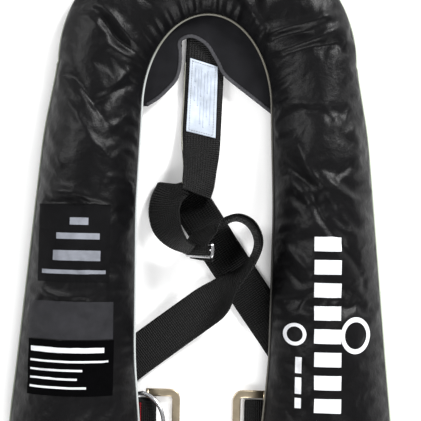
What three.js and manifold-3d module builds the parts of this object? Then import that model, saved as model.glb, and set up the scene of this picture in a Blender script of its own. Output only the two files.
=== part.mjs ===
// Inflatable life jacket, laid flat with its front up: a padded horseshoe cover over a folded
// buoyancy chamber with its inflator and mouth tube, and a webbing harness behind it.
// Millimetres. +X to the right, +Y towards the neck, +Z up from the wearer's side to the front.

import * as THREE from 'three';
import { mergeVertices } from 'three/addons/utils/BufferGeometryUtils.js';
import Module from 'manifold-3d';

const wasm = await Module();
wasm.setup();

// ---------------------------------------------------------------- driving dimensions

// Outline of the horseshoe: two half ellipses round the neck, then two straight-sided lobes.
const NECK_INNER = { rx: 65, ry: 96, y: 92 };
const NECK_OUTER = { rx: 149, ry: 139, y: 138 };
// Half-widths [y, x] of the lobes' inner and outer edges, from the neck downwards.
const LOBE_INNER = [[92, 65], [-8, 69], [-158, 67.5], [-219, 62], [-276, 57]];
const LOBE_OUTER = [[138, 149], [68, 162], [-4, 169], [-158, 184], [-219, 190.5], [-276, 193]];
const LOBE_END = -276;
const LOBE_ROUNDING = 45;

// Heights of the cover.
const SEAM_Z = 16;
const SEAM_GAP = 4;
const LOBE_HEIGHT = 56;
const NECK_HEIGHT = 42;
const FRONT_SKIN = 1.5;
const BACK_PAD = 7;
const BACK_EDGE = 2.5;
const EDGE_ROLL = 22;

// Piping in the seams.
const PIPING_R = 1.6;
const COVER_INSET = 2 * PIPING_R + 0.4;

// Webbing.
const WEB_WIDTH = 40;
const WEB_THICK = 1.8;
const CHANNEL_DEPTH = 5.7;

// Buckle: flat steel rings a little taller than the webbing. The webbing wraps a round bar.
const RING_BAR = 8;
const RING_THICK = 3;
const RING_ROD = 1.8;
const RING_HALF = 28.5;
const RING_REACH = 33;
const RING_CORNER = 6;
const RING_Y = -217.5;
const RING_Z = 4.2;
const LEFT_RING_X = -54;
const RIGHT_RING_X = 64;
const TAB_WIDTH = 38;
const TAB_THICK = 1.6;
// Harness ring: a round-wire D, tilted up over the left buckle ring.
const DEE = { x: -66, y: -222.5, z: 5.2, r: 30, rod: 2.2, tilt: THREE.MathUtils.degToRad(20.6) };

// Folded chamber.
const CHAMBER_INSET = 20.5;
const CHAMBER_Z = [9.4, 30];
const CHAMBER_END = -226;
const POCKET_FLOOR = 14;

// Inflator, in the left lobe: the piercing axis runs along Y.
const PIERCE = { x: -134, z: 32 };
const INFLATOR = { x: [-148, -106], y: [-192, -156], z: [18.1, 45] };
const STEM = { x: -115, y: -174, r: 4.5, top: 50 };
const CYLINDER = { r: 14.5, neckR: 6.3, shoulderY: -155, length: 124, neck: 9 };
const PIN = { r: 3, length: 26 };
const PIN_TRAVEL = 6;
const LEVER = { y: -206, hub: 6, low: 27.5, high: 36.5, armX: -151.5, armEndY: -172 };
const PIN_GAP = 0.8;
const CORD = { x: -151.5, z: 16, r: 1.2, top: -184 };
const HANDLE = { y: -303, length: 22, width: 46, z: [1, 12] };

// Mouth tube, in the right lobe.
const TUBE = { x: 118, z: 31, r: 7, bore: 4.6, base: -118, mouth: -20 };
const CAP = { r: 9.5, length: 19, wall: 2 };

// The frame's origin lies under the middle of the whole length.
const CENTRE_Y = (NECK_OUTER.y + NECK_OUTER.ry + HANDLE.y - HANDLE.length / 2) / 2;

// ---------------------------------------------------------------- materials

function finish(color, roughness, metalness = 0) {
  return new THREE.MeshStandardMaterial({ color, roughness, metalness });
}

const COVER = finish(0x1c1b20, 0.55);
const PADDING = finish(0x18181b, 0.85);
const PIPING = finish(0xc6cac4, 0.35);
const CLOSURE = finish(0x101012, 0.95);
const WEBBING = finish(0x131315, 0.8);
const YOKE = finish(0x0f0f11, 0.9);
const BINDING = finish(0x1c1c1e, 0.8);
const LABEL = finish(0xdfe5ec, 0.7);
const STEEL = finish(0xb09a6c, 0.3, 1);
const BRIGHT_STEEL = finish(0xc8c9cc, 0.25, 1);
const CHAMBER = finish(0xf2a900, 0.6);
const SILVER_TAPE = finish(0xd0d3d6, 0.3);
const BLACK_PLASTIC = finish(0x17171a, 0.5);
const RUBBER = finish(0x202022, 0.8);
const CYLINDER_PAINT = finish(0xb9bcc0, 0.35, 1);
const GREEN_PLASTIC = finish(0x2f9d4a, 0.5);
const RED_PLASTIC = finish(0xc3201f, 0.5);
const RED_CORD = finish(0xb3231f, 0.8);
const ORANGE_PLASTIC = finish(0xe8641b, 0.5);

// ---------------------------------------------------------------- solids from sections

function signedVolume(positions, indices) {
  let volume = 0;
  const corner = (k) => new THREE.Vector3().fromArray(positions, 3 * indices[k]);
  for (let k = 0; k < indices.length; k += 3) {
    volume += corner(k).dot(corner(k + 1).cross(corner(k + 2)));
  }
  return volume / 6;
}

// Joins rings of points into one closed skin. Point i and point n-1-i of a ring face each other
// across it, so an end is closed by a strip between the two halves.
function sweep(rings, closed = false) {
  const count = rings[0].length;
  const positions = rings.flat().flatMap((p) => [p.x, p.y, p.z]);
  const indices = [];
  const quad = (a, b, c, d) => indices.push(a, b, c, a, c, d);
  const spans = closed ? rings.length : rings.length - 1;
  for (let r = 0; r < spans; r += 1) {
    const here = r * count;
    const next = ((r + 1) % rings.length) * count;
    for (let i = 0; i < count; i += 1) {
      const j = (i + 1) % count;
      quad(here + i, here + j, next + j, next + i);
    }
  }
  if (!closed) {
    const last = (rings.length - 1) * count;
    for (let i = 0; i < count / 2 - 1; i += 1) {
      quad(i, count - 1 - i, count - 2 - i, i + 1);
      quad(last + i, last + i + 1, last + count - 2 - i, last + count - 1 - i);
    }
  }
  if (signedVolume(positions, indices) < 0) {
    indices.reverse();
  }
  const geometry = new THREE.BufferGeometry();
  geometry.setAttribute('position', new THREE.Float32BufferAttribute(positions, 3));
  geometry.setIndex(indices);
  geometry.computeVertexNormals();
  return geometry;
}

function tube(points, radius, sides = 8, steps = 24, closed = false) {
  const path = new THREE.CatmullRomCurve3(points.map((p) => new THREE.Vector3(...p)), closed);
  const rings = [];
  const total = closed ? steps : steps + 1;
  for (let k = 0; k < total; k += 1) {
    const centre = path.getPoint(k / steps);
    const along = path.getTangent(k / steps);
    const up = Math.abs(along.z) > 0.9 ? new THREE.Vector3(0, 1, 0) : new THREE.Vector3(0, 0, 1);
    const side = new THREE.Vector3().crossVectors(along, up).normalize();
    const over = new THREE.Vector3().crossVectors(side, along);
    rings.push(Array.from({ length: sides }, (_, i) => {
      const angle = (2 * Math.PI * (i + 0.5)) / sides;
      return centre.clone()
        .addScaledVector(side, radius * Math.cos(angle))
        .addScaledVector(over, radius * Math.sin(angle));
    }));
  }
  return sweep(rings, closed);
}

// Frames along a strip of webbing. A station is a middle point and the way its width runs.
function stripFrames(stations, steps) {
  const middle = new THREE.CatmullRomCurve3(stations.map((s) => new THREE.Vector3(...s.at)));
  const widths = new THREE.CatmullRomCurve3(stations.map((s) => new THREE.Vector3(...s.wide)));
  return Array.from({ length: steps + 1 }, (_, k) => {
    const along = middle.getTangent(k / steps);
    const wide = widths.getPoint(k / steps);
    wide.addScaledVector(along, -wide.dot(along)).normalize();
    const face = new THREE.Vector3().crossVectors(wide, along);
    return { at: middle.getPoint(k / steps), wide, face };
  });
}

function stripRings(frames, width, thickness, lift = 0) {
  return frames.map(({ at, wide, face }) => {
    const corner = (u, v) => at.clone()
      .addScaledVector(wide, u * width / 2)
      .addScaledVector(face, v * thickness / 2 + lift);
    return [corner(-1, 1), corner(1, 1), corner(1, -1), corner(-1, -1)];
  });
}

function strip(stations, steps, width = WEB_WIDTH, thickness = WEB_THICK) {
  return sweep(stripRings(stripFrames(stations, steps), width, thickness));
}

function plate(outline, low, high) {
  const geometry = new THREE.ExtrudeGeometry(
    new THREE.Shape(outline.map(([x, y]) => new THREE.Vector2(x, y))),
    { depth: high - low, bevelEnabled: false },
  );
  return geometry.translate(0, 0, low);
}

function box([x0, x1], [y0, y1], [z0, z1]) {
  return new THREE.BoxGeometry(x1 - x0, y1 - y0, z1 - z0)
    .translate((x0 + x1) / 2, (y0 + y1) / 2, (z0 + z1) / 2);
}

// Turned about Y through (x, z); profile points are [radius, y].
function turned(profile, x, z, segments = 16) {
  return new THREE.LatheGeometry(profile.map(([r, y]) => new THREE.Vector2(r, y)), segments)
    .translate(x, 0, z);
}

// Turned about Z through (x, y); profile points are [radius, z].
function turnedUpright(profile, x, y, segments = 16) {
  return new THREE.LatheGeometry(profile.map(([r, z]) => new THREE.Vector2(r, z)), segments)
    .rotateX(Math.PI / 2)
    .translate(x, y, 0);
}

// ---------------------------------------------------------------- booleans

function toSolid(geometry) {
  const bare = geometry.clone();
  bare.deleteAttribute('normal');
  bare.deleteAttribute('uv');
  const merged = mergeVertices(bare, 1e-4);
  return new wasm.Manifold(new wasm.Mesh({
    numProp: 3,
    vertProperties: Float32Array.from(merged.attributes.position.array),
    triVerts: Uint32Array.from(merged.index.array),
  }));
}

function toGeometry(solid) {
  const mesh = solid.getMesh();
  const geometry = new THREE.BufferGeometry();
  geometry.setAttribute('position', new THREE.BufferAttribute(mesh.vertProperties, 3));
  geometry.setIndex(new THREE.BufferAttribute(mesh.triVerts, 1));
  geometry.computeVertexNormals();
  return geometry;
}

function cut(geometry, ...tools) {
  return toGeometry(tools.reduce((left, tool) => left.subtract(toSolid(tool)), toSolid(geometry)));
}

function join(geometry, ...others) {
  return toGeometry(others.reduce((sum, other) => sum.add(toSolid(other)), toSolid(geometry)));
}

// ---------------------------------------------------------------- horseshoe outline

const smooth = (t) => {
  const u = Math.min(Math.max(t, 0), 1);
  return u * u * (3 - 2 * u);
};

function halfWidth(table, y) {
  const below = table.findIndex(([at]) => at <= y);
  const k = Math.max(below < 0 ? table.length - 1 : below, 1);
  const [y0, x0] = table[k - 1];
  const [y1, x1] = table[k];
  return x0 + ((x1 - x0) * (y - y0)) / (y1 - y0);
}

const NECK_ROWS = 8;
const LOBE_ROWS = 8;
const END_ROWS = 4;
const END_SWEEP = THREE.MathUtils.degToRad(85);
const END_FULLNESS = 0.7;

// One row of the right half: its inner and outer edge points, and how far the lobe's end has
// closed on it, from 1 along the lobe down to 0 at the tip.
function rightRows(inset) {
  const rows = [];
  for (let k = 0; k <= NECK_ROWS; k += 1) {
    const turn = (Math.PI / 2) * (1 - k / NECK_ROWS);
    const point = ({ rx, ry, y }, grow) => new THREE.Vector2(
      (rx + grow) * Math.cos(turn), y + (ry + grow) * Math.sin(turn),
    );
    rows.push({ inner: point(NECK_INNER, inset), outer: point(NECK_OUTER, -inset), open: 1 });
  }
  const endStart = LOBE_END + LOBE_ROUNDING;
  const across = (yInner, yOuter) => ({
    inner: new THREE.Vector2(halfWidth(LOBE_INNER, yInner) + inset, yInner),
    outer: new THREE.Vector2(halfWidth(LOBE_OUTER, yOuter) - inset, yOuter),
    open: 1,
  });
  for (let k = 1; k <= LOBE_ROWS; k += 1) {
    const down = k / LOBE_ROWS;
    rows.push(across(
      NECK_INNER.y + (endStart - NECK_INNER.y) * down,
      NECK_OUTER.y + (endStart - NECK_OUTER.y) * down,
    ));
  }
  for (let k = 1; k <= END_ROWS; k += 1) {
    const turn = (END_SWEEP * k) / END_ROWS;
    const y = endStart - (LOBE_ROUNDING - inset) * Math.sin(turn) ** END_FULLNESS;
    const { inner, outer } = across(y, y);
    const open = Math.cos(turn) ** END_FULLNESS;
    const middle = inner.clone().add(outer).multiplyScalar(0.5);
    rows.push({
      inner: middle.clone().lerp(inner, open),
      outer: middle.clone().lerp(outer, open),
      open,
    });
  }
  return rows;
}

function allRows(inset) {
  const right = rightRows(inset);
  const flip = (p) => new THREE.Vector2(-p.x, p.y);
  const left = right.slice(1).reverse()
    .map(({ inner, outer, open }) => ({ inner: flip(inner), outer: flip(outer), open }));
  return [...left, ...right];
}

const ACROSS = 8;

// Closed shell over the horseshoe: topAt and bottomAt give the heights for a row, the place
// across it and the distance from the nearer edge.
function shell(inset, topAt, bottomAt) {
  const rings = allRows(inset).map((row) => {
    const width = row.inner.distanceTo(row.outer);
    const points = Array.from({ length: ACROSS + 1 }, (_, k) => {
      const s = (1 - Math.cos((Math.PI * k) / ACROSS)) / 2;
      return { s, edge: Math.min(s, 1 - s) * width, p: row.inner.clone().lerp(row.outer, s) };
    });
    const top = points.map(({ s, edge, p }) => new THREE.Vector3(p.x, p.y, topAt(row, s, edge)));
    const low = points.map(({ s, edge, p }) => new THREE.Vector3(p.x, p.y, bottomAt(row, s, edge)));
    return [...top, ...low.reverse()];
  });
  return sweep(rings);
}

// ---------------------------------------------------------------- cover

const FRONT_FLANGE = SEAM_Z + SEAM_GAP / 2;
const BACK_FLANGE = SEAM_Z - SEAM_GAP / 2;

function frontRise(row, s) {
  const y = (row.inner.y + row.outer.y) / 2;
  const height = NECK_HEIGHT + (LOBE_HEIGHT - NECK_HEIGHT) * smooth((150 - y) / 130);
  const bulge = (1 - Math.abs(2 * s - 1) ** 2.4) ** 0.7;
  return (height - FRONT_FLANGE - FRONT_SKIN) * bulge * row.open ** 0.8;
}

function frontCover() {
  return shell(
    COVER_INSET,
    (row, s) => FRONT_FLANGE + FRONT_SKIN + frontRise(row, s),
    (row, s) => FRONT_FLANGE + frontRise(row, s),
  );
}

function backUnderside(edge) {
  return (BACK_FLANGE - BACK_EDGE) * (1 - smooth(edge / EDGE_ROLL));
}


// A shallow channel in each lobe's back panel takes the belt and the buckle's webbing.
const CHANNEL = { x: [56, 124], y: [-248, -90] };
const TAB_RECESS = [
  { x: [56, 80], y: [-248, -188], depth: 7.4 },
  { x: [56, 72], y: [-248, -188], depth: 10.4 },
];
const mirrorX = ([a, b]) => [-b, -a];

function backCover() {
  const panel = shell(
    COVER_INSET,
    (row, s, edge) => backUnderside(edge) + BACK_EDGE
      + (BACK_PAD - BACK_EDGE) * smooth(edge / EDGE_ROLL),
    (row, s, edge) => backUnderside(edge),
  );
  const hollows = [{ ...CHANNEL, depth: CHANNEL_DEPTH }, ...TAB_RECESS];
  const both = hollows.flatMap(({ x, y, depth }) => [
    box(x, y, [-1, depth]), box(mirrorX(x), y, [-1, depth]),
  ]);
  return cut(panel, ...both);
}

// The outer piping stops short of each lobe's tip, where the firing cord comes out.
function piping(edge, skip) {
  const rows = allRows(PIPING_R);
  const kept = rows.slice(skip, rows.length - skip);
  return tube(kept.map((row) => [row[edge].x, row[edge].y, SEAM_Z]), PIPING_R, 6, 56);
}

const CLOSURE_WIDTH = 14;
const CLOSURE_THICK = 1.2;

function closureStrip(side, z) {
  const places = [90, 30, -30, -95, -160, -222];
  const middle = (y) => side * (halfWidth(LOBE_OUTER, y) - COVER_INSET - 2 - CLOSURE_WIDTH / 2);
  const stations = places.map((y) => ({ at: [middle(y), y, z], wide: [1, 0, 0] }));
  return strip(stations, 8, CLOSURE_WIDTH, CLOSURE_THICK);
}

// ---------------------------------------------------------------- neck yoke and back strap

// The yoke's free lower edge, from the left wing over the arch to the right wing.
const YOKE_ARCH = [
  [-60, 95], [-49, 102], [-39.5, 111], [-31, 121], [-27, 134], [-26.5, 150], [-27.5, 160],
  [-18, 165], [-8, 161.5], [-1, 156], [4, 148.5], [10, 138.5], [17, 126.5], [38, 110], [66, 89],
];
const YOKE_Z = [8.8, 10.4];
const YOKE_TUCK = 3;

function neckYoke() {
  const rim = Array.from({ length: 17 }, (_, k) => {
    const turn = (Math.PI * k) / 16;
    const reach = COVER_INSET + YOKE_TUCK;
    return [
      (NECK_INNER.rx + reach) * Math.cos(turn),
      NECK_INNER.y + (NECK_INNER.ry + reach) * Math.sin(turn),
    ];
  });
  return plate([...rim, ...YOKE_ARCH], ...YOKE_Z);
}

function yokeBinding() {
  const hem = YOKE_ARCH.slice(1, -1).map(([x, y]) => ({
    at: [x, y + 1, YOKE_Z[1] + 0.7], wide: [0.5, 1, 0],
  }));
  return strip(hem, 36, 3, 0.8);
}

// The strap hangs flat at the neck and turns on edge as it comes down over the belt.
const BACK_STRAP = [
  { at: [-2, 172, 6.2], wide: [1, 0, 0] },
  { at: [-3, 140, 6.2], wide: [1, 0, 0] },
  { at: [-4, 100, 6.2], wide: [1, 0, 0] },
  { at: [-5, 66, 7], wide: [1, 0, -0.04] },
  { at: [-5.5, 36, 14.5], wide: [0.83, 0, -0.5] },
  { at: [-8, 14, 24], wide: [0.72, 0, -0.7] },
  { at: [-9.5, 3, 27.5], wide: [0.64, 0, -0.77] },
];
const STRAP_STEPS = 24;
const LABEL_SPAN = [4, 12];
const LABEL_WIDTH = 29;
const LABEL_THICK = 0.4;

function careLabel() {
  const frames = stripFrames(BACK_STRAP, STRAP_STEPS).slice(LABEL_SPAN[0], LABEL_SPAN[1] + 1);
  const lift = Math.sign(frames[0].face.z) * (WEB_THICK / 2 + LABEL_THICK / 2 + 0.5);
  return sweep(stripRings(frames, LABEL_WIDTH, LABEL_THICK, lift));
}

// ---------------------------------------------------------------- belt

// From the right lobe's channel, up the diagonal, round a cone-shaped turn on the left, and
// back down into the slider.
const BELT_RIGHT = [
  { at: [100, -168, 3.1], wide: [0.82, 0.57, 0] },
  { at: [76, -133, 3.2], wide: [0.82, 0.57, 0] },
  { at: [52, -99, 3.2], wide: [0.82, 0.57, 0] },
  { at: [20, -53, 3.6], wide: [0.82, 0.57, -0.02] },
  { at: [3, -26, 5.5], wide: [0.8, 0.56, -0.1] },
  { at: [-5, -3, 14.5], wide: [0.6, 0.5, -0.6] },
  { at: [-20, 6, 17.5], wide: [0.05, 0.72, -0.7] },
  { at: [-35, 1, 18], wide: [-0.5, 0.5, -0.7] },
  { at: [-42, -15, 19.5], wide: [-0.7, 0.02, -0.7] },
  { at: [-37, -29, 23], wide: [-0.66, -0.2, -0.72] },
  { at: [-27, -36, 28], wide: [-0.62, -0.15, -0.78] },
  { at: [-18, -40.5, 32.5], wide: [-0.6, -0.1, -0.8] },
];

// From the left lobe's channel, up over the diagonal, round a loop that stands on its edge, and
// into the slider.
const BELT_LEFT = [
  { at: [-92, -178, 3.1], wide: [0.61, -0.79, 0] },
  { at: [-66, -157.5, 4.2], wide: [0.61, -0.79, 0] },
  { at: [-30, -130, 7.5], wide: [0.6, -0.79, 0] },
  { at: [-2, -109, 9], wide: [0.6, -0.79, 0.05] },
  { at: [16, -95, 16], wide: [0.5, -0.65, 0.5] },
  { at: [33, -77, 28], wide: [0.2, -0.3, 0.93] },
  { at: [49, -57, 31], wide: [0.12, -0.1, 0.98] },
  { at: [55, -38, 31], wide: [0.14, 0, 0.98] },
  { at: [48, -21, 31], wide: [0.1, 0.1, 0.98] },
  { at: [34, -14, 31], wide: [0, 0.14, 0.98] },
  { at: [19, -19, 31], wide: [-0.1, 0.1, 0.98] },
  { at: [10, -29, 30.5], wide: [0.3, -0.05, 0.95] },
  { at: [3.5, -38, 29.5], wide: [0.56, -0.05, 0.83] },
  { at: [1.5, -49, 27.6], wide: [0.59, 0, 0.81] },
];

// Three-bar slider between the two belts, its long side tilted up to the right.
const SLIDER = { at: [-4.6, -47.6, 30], long: 48, wide: 16, bar: 3.2, thick: 2.4, tilt: 54 };

function roundedRect(x0, y0, x1, y1, r) {
  const shape = new THREE.Shape();
  shape.absarc(x1 - r, y1 - r, r, 0, Math.PI / 2);
  shape.absarc(x0 + r, y1 - r, r, Math.PI / 2, Math.PI);
  shape.absarc(x0 + r, y0 + r, r, Math.PI, 1.5 * Math.PI);
  shape.absarc(x1 - r, y0 + r, r, 1.5 * Math.PI, 2 * Math.PI);
  return shape;
}

function slab(shape, low, high) {
  return new THREE.ExtrudeGeometry(shape, {
    depth: high - low, bevelEnabled: false, curveSegments: 4,
  }).translate(0, 0, low);
}

// Turns a piece drawn lying flat about the origin by the slider's tilt and puts it in place.
function placeOnSlider(geometry) {
  return geometry
    .rotateY(-THREE.MathUtils.degToRad(SLIDER.tilt))
    .translate(...SLIDER.at);
}

function slider() {
  const { long, wide, bar, thick } = SLIDER;
  const frame = slab(roundedRect(-long / 2, -wide / 2, long / 2, wide / 2, 3), -thick / 2, thick / 2);
  const slotReach = long / 2 - bar;
  const slot = ([y0, y1]) => box([-slotReach, slotReach], [y0, y1], [-thick, thick]);
  return placeOnSlider(cut(
    frame,
    slot([bar / 2, wide / 2 - bar / 2]),
    slot([-wide / 2 + bar / 2, -bar / 2]),
  ));
}

// ---------------------------------------------------------------- buckle

// Webbing doubled round a bar: stations are the middle of the webbing, seen along Y.
function tab(points, side, y) {
  const stations = points.map(([x, z]) => ({ at: [side * x, y, z], wide: [0, 1, 0] }));
  return strip(stations, 28, TAB_WIDTH, TAB_THICK);
}

const LEFT_TAB = [
  [118, 4.6], [100, 4.6], [86, 4.6], [78, 4.8], [72, 6.6], [66, 8.7], [60, 8.4], [54, 7.3],
  [49, 6.9], [45.5, 4.2], [49, 1.6], [54, 1.4], [66, 1.7], [84, 2.1], [100, 2.1], [118, 2.1],
];
const RIGHT_TAB = [
  [118, 4.6], [100, 4.6], [84, 4.6], [74, 5], [68, 6.7], [62, 7.2], [50, 6.9], [44.5, 4.2],
  [50, 1.6], [62, 1.4], [72, 1.9], [84, 2.1], [100, 2.1], [118, 2.1],
];

// A flat C of three bars, closed by the round bar that the webbing wraps.
function buckleRing(barX, reach) {
  const [x0, x1] = reach > 0 ? [barX - 3, barX + reach] : [barX + reach, barX + 3];
  const [z0, z1] = [RING_Z - RING_THICK / 2, RING_Z + RING_THICK / 2];
  const [y0, y1] = [RING_Y - RING_HALF, RING_Y + RING_HALF];
  const openEnd = reach > 0 ? [x0 - 1, x1 - RING_BAR] : [x0 + RING_BAR, x1 + 1];
  const plateShape = slab(roundedRect(x0, y0, x1, y1, RING_CORNER), z0, z1);
  const bars = cut(plateShape, box(openEnd, [y0 + RING_BAR, y1 - RING_BAR], [z0 - 1, z1 + 1]));
  const rodEnd = RING_HALF - RING_BAR / 2;
  const rod = turned([
    [0, RING_Y - rodEnd], [RING_ROD, RING_Y - rodEnd], [RING_ROD, RING_Y + rodEnd],
    [0, RING_Y + rodEnd],
  ], barX, RING_Z, 12);
  return join(bars, rod);
}

// Straight bar held in the webbing, then a half circle, all tilted about the bar.
function harnessRing() {
  const bar = [-22, -11, 0, 11, 22].map((v) => [0, v]);
  const arc = Array.from({ length: 11 }, (_, k) => {
    const turn = THREE.MathUtils.degToRad(80 - 16 * k);
    return [1 + DEE.r * Math.cos(turn), DEE.r * Math.sin(turn)];
  });
  const path = [...bar, [1.4, 28], ...arc, [1.4, -28]].map(([u, v]) => [
    DEE.x + u * Math.cos(DEE.tilt), DEE.y + v, DEE.z + u * Math.sin(DEE.tilt),
  ]);
  return tube(path, DEE.rod, 8, 44, true);
}

const SLEEVE_X = [79, 122];
const SLEEVE_Y = [-246, -92];
const SLEEVE_Z = [0, 1];
const sleeve = (x) => box(x, SLEEVE_Y, SLEEVE_Z);

// ---------------------------------------------------------------- folded chamber

const POCKETS = [
  { x: [-152, -98], y: [-200, -22] },
  { x: [-176, -98], y: [-240, -164] },
  { x: [102, 134], y: [-132, 24] },
];

function chamber() {
  const rows = allRows(CHAMBER_INSET).filter(({ outer }) => outer.y > CHAMBER_END);
  const outline = [
    ...rows.map(({ outer }) => [outer.x, outer.y]),
    ...rows.map(({ inner }) => [inner.x, inner.y]).reverse(),
  ];
  const pockets = POCKETS.map(({ x, y }) => box(x, y, [POCKET_FLOOR, CHAMBER_Z[1] + 1]));
  return cut(plate(outline, ...CHAMBER_Z), ...pockets);
}

function reflectiveTape(x) {
  const top = CHAMBER_Z[1] + 0.3;
  return box([x - 22, x + 22], [38, 118], [top, top + 0.5]);
}

function liftingBecket() {
  return strip([
    { at: [98, -190, 31.2], wide: [0, 1, 0] },
    { at: [112, -190, 37], wide: [0, 1, 0] },
    { at: [128, -190, 39], wide: [0, 1, 0] },
    { at: [144, -190, 37], wide: [0, 1, 0] },
    { at: [158, -190, 31.2], wide: [0, 1, 0] },
  ], 12, 25, 1.6);
}

// ---------------------------------------------------------------- inflator

const PIERCE_BORE = 3.6;
const NECK_BORE = 6.8;
const EAR_THICK = 3;
const EAR_END = LEVER.y - 7;
const PIVOT_R = 1.6;
const PIVOT_BORE = 2;
const CLIP = { x: -113, z: 36, peg: 1.5, hole: 1.9, depth: 10 };

function inflatorBody() {
  const block = box(INFLATOR.x, INFLATOR.y, INFLATOR.z);
  const earX = [PIERCE.x - 8, PIERCE.x + 8];
  const earY = [EAR_END, INFLATOR.y[0] + 1];
  const lowEar = box(earX, earY, [LEVER.low - 0.4 - EAR_THICK, LEVER.low - 0.4]);
  const highEar = box(earX, earY, [LEVER.high + 0.4, LEVER.high + 0.4 + EAR_THICK]);
  const bore = (r, y0, y1, x, z) => turned([[0, y0], [r, y0], [r, y1], [0, y1]], x, z);
  const neckFloor = INFLATOR.y[1] - CYLINDER.neck - 0.6;
  return cut(
    join(block, lowEar, highEar),
    bore(PIERCE_BORE, INFLATOR.y[0] - 1, INFLATOR.y[1] + 1, PIERCE.x, PIERCE.z),
    bore(NECK_BORE, neckFloor, INFLATOR.y[1] + 1, PIERCE.x, PIERCE.z),
    bore(CLIP.hole, INFLATOR.y[0] - 1, INFLATOR.y[0] + CLIP.depth + 1, CLIP.x, CLIP.z),
    turnedUpright([[0, 0], [STEM.r + 0.4, 0], [STEM.r + 0.4, 60], [0, 60]], STEM.x, STEM.y),
    turnedUpright([[0, 10], [PIVOT_BORE, 10], [PIVOT_BORE, 50], [0, 50]], PIERCE.x, LEVER.y),
  );
}

function gasCylinder() {
  const { r, neckR, shoulderY, length, neck } = CYLINDER;
  const domeY = shoulderY + length - r;
  const dome = [80, 60, 40, 20, 0].map((deg) => {
    const turn = THREE.MathUtils.degToRad(90 - deg);
    return [r * Math.sin(turn), domeY + r * Math.cos(turn)];
  }).reverse();
  return turned([
    [0, INFLATOR.y[1] - neck], [neckR, INFLATOR.y[1] - neck], [neckR, shoulderY],
    [r - 4, shoulderY + 4], [r, shoulderY + 12], ...dome.filter(([, y]) => y < domeY + r),
    [0, domeY + r],
  ], PIERCE.x, PIERCE.z, 20);
}

function valveStem() {
  return turnedUpright([
    [0, POCKET_FLOOR + 0.3], [13, POCKET_FLOOR + 0.3], [13, POCKET_FLOOR + 1.8],
    [STEM.r, POCKET_FLOOR + 1.8], [STEM.r, STEM.top], [0, STEM.top],
  ], STEM.x, STEM.y);
}

function washerOnStem(outer, low, high, sides = 16) {
  const disc = (r, z0, z1, segments) => turnedUpright(
    [[0, z0], [r, z0], [r, z1], [0, z1]], STEM.x, STEM.y, segments,
  );
  return cut(disc(outer, low, high, sides), disc(STEM.r + 0.4, low - 1, high + 1, 16));
}

const HUB_REACH = LEVER.y + LEVER.hub + PIN_GAP;

// The pin's rounded end stands just off the lever's cam.
function firingPin() {
  return turned([
    [0, HUB_REACH], [1.6, HUB_REACH + 0.5], [PIN.r, HUB_REACH + 2.6],
    [PIN.r, HUB_REACH + PIN.length - 5], [0.6, HUB_REACH + PIN.length], [0, HUB_REACH + PIN.length],
  ], PIERCE.x, PIERCE.z, 12);
}

// The cam grows evenly from its base radius by the pin's travel over a quarter turn.
function lever() {
  const cam = Array.from({ length: 7 }, (_, k) => {
    const turn = THREE.MathUtils.degToRad(15 * k);
    const r = LEVER.hub + PIN_TRAVEL * (1 - k / 6);
    return [PIERCE.x + r * Math.cos(turn), LEVER.y + r * Math.sin(turn)];
  });
  const arm = [
    [PIERCE.x - 4, LEVER.y + 4.4], [LEVER.armX + 2.3, LEVER.y + 4.4],
    [LEVER.armX + 2.3, LEVER.armEndY], [LEVER.armX - 2.3, LEVER.armEndY],
    [LEVER.armX - 2.3, LEVER.y], [LEVER.armX + 1, LEVER.y - 4], [PIERCE.x - 2, LEVER.y - 6],
    [PIERCE.x + 4, LEVER.y - 5.6],
  ];
  const body = plate([...cam, ...arm], LEVER.low, LEVER.high);
  return cut(body, turnedUpright([[0, 10], [PIVOT_BORE, 10], [PIVOT_BORE, 50], [0, 50]],
    PIERCE.x, LEVER.y));
}

function leverPin() {
  const [low, high] = [LEVER.low - 4, LEVER.high + 4];
  return turnedUpright([[0, low], [PIVOT_R, low], [PIVOT_R, high], [0, high]], PIERCE.x, LEVER.y, 12);
}

function indicatorClip() {
  const face = INFLATOR.y[0];
  const peg = turned([
    [0, face - 2], [CLIP.peg, face - 2], [CLIP.peg, face + CLIP.depth], [0, face + CLIP.depth],
  ], CLIP.x, CLIP.z, 10);
  const head = box([CLIP.x - 5, CLIP.x + 5], [face - 4.4, face - 0.4], [CLIP.z - 4, CLIP.z + 4]);
  return join(head, peg);
}

// Down from the lever's end, out between the two seams and over to the handle.
function pullCord() {
  return tube([
    [CORD.x, CORD.top, CORD.z], [CORD.x, -230, CORD.z], [CORD.x, -262, CORD.z],
    [CORD.x, -280, CORD.z], [CORD.x, -286.5, 12.5], [CORD.x, -290.8, 8],
  ], CORD.r, 8, 22);
}

function pullHandle() {
  const [y0, y1] = [HANDLE.y - HANDLE.length / 2, HANDLE.y + HANDLE.length / 2];
  const half = HANDLE.width / 2;
  const shape = roundedRect(CORD.x - half, y0, CORD.x + half, y1, 7);
  return slab(shape, ...HANDLE.z);
}

// ---------------------------------------------------------------- mouth tube and whistle

function oralTube() {
  const bend = tube([
    [TUBE.x, TUBE.base, POCKET_FLOOR + 2], [TUBE.x, TUBE.base + 1, 22],
    [TUBE.x, TUBE.base + 8, TUBE.z - 1.5], [TUBE.x, TUBE.base + 20, TUBE.z],
    [TUBE.x, TUBE.base + 60, TUBE.z], [TUBE.x, TUBE.mouth, TUBE.z],
  ], TUBE.r, 12, 22);
  const foot = turnedUpright([
    [0, POCKET_FLOOR + 0.3], [13, POCKET_FLOOR + 0.3], [13, POCKET_FLOOR + 2.3],
    [0, POCKET_FLOOR + 2.3],
  ], TUBE.x, TUBE.base);
  const bore = turned([
    [0, TUBE.mouth - 16], [TUBE.bore, TUBE.mouth - 16], [TUBE.bore, TUBE.mouth + 1],
    [0, TUBE.mouth + 1],
  ], TUBE.x, TUBE.z);
  return cut(join(bend, foot), bore);
}

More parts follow.
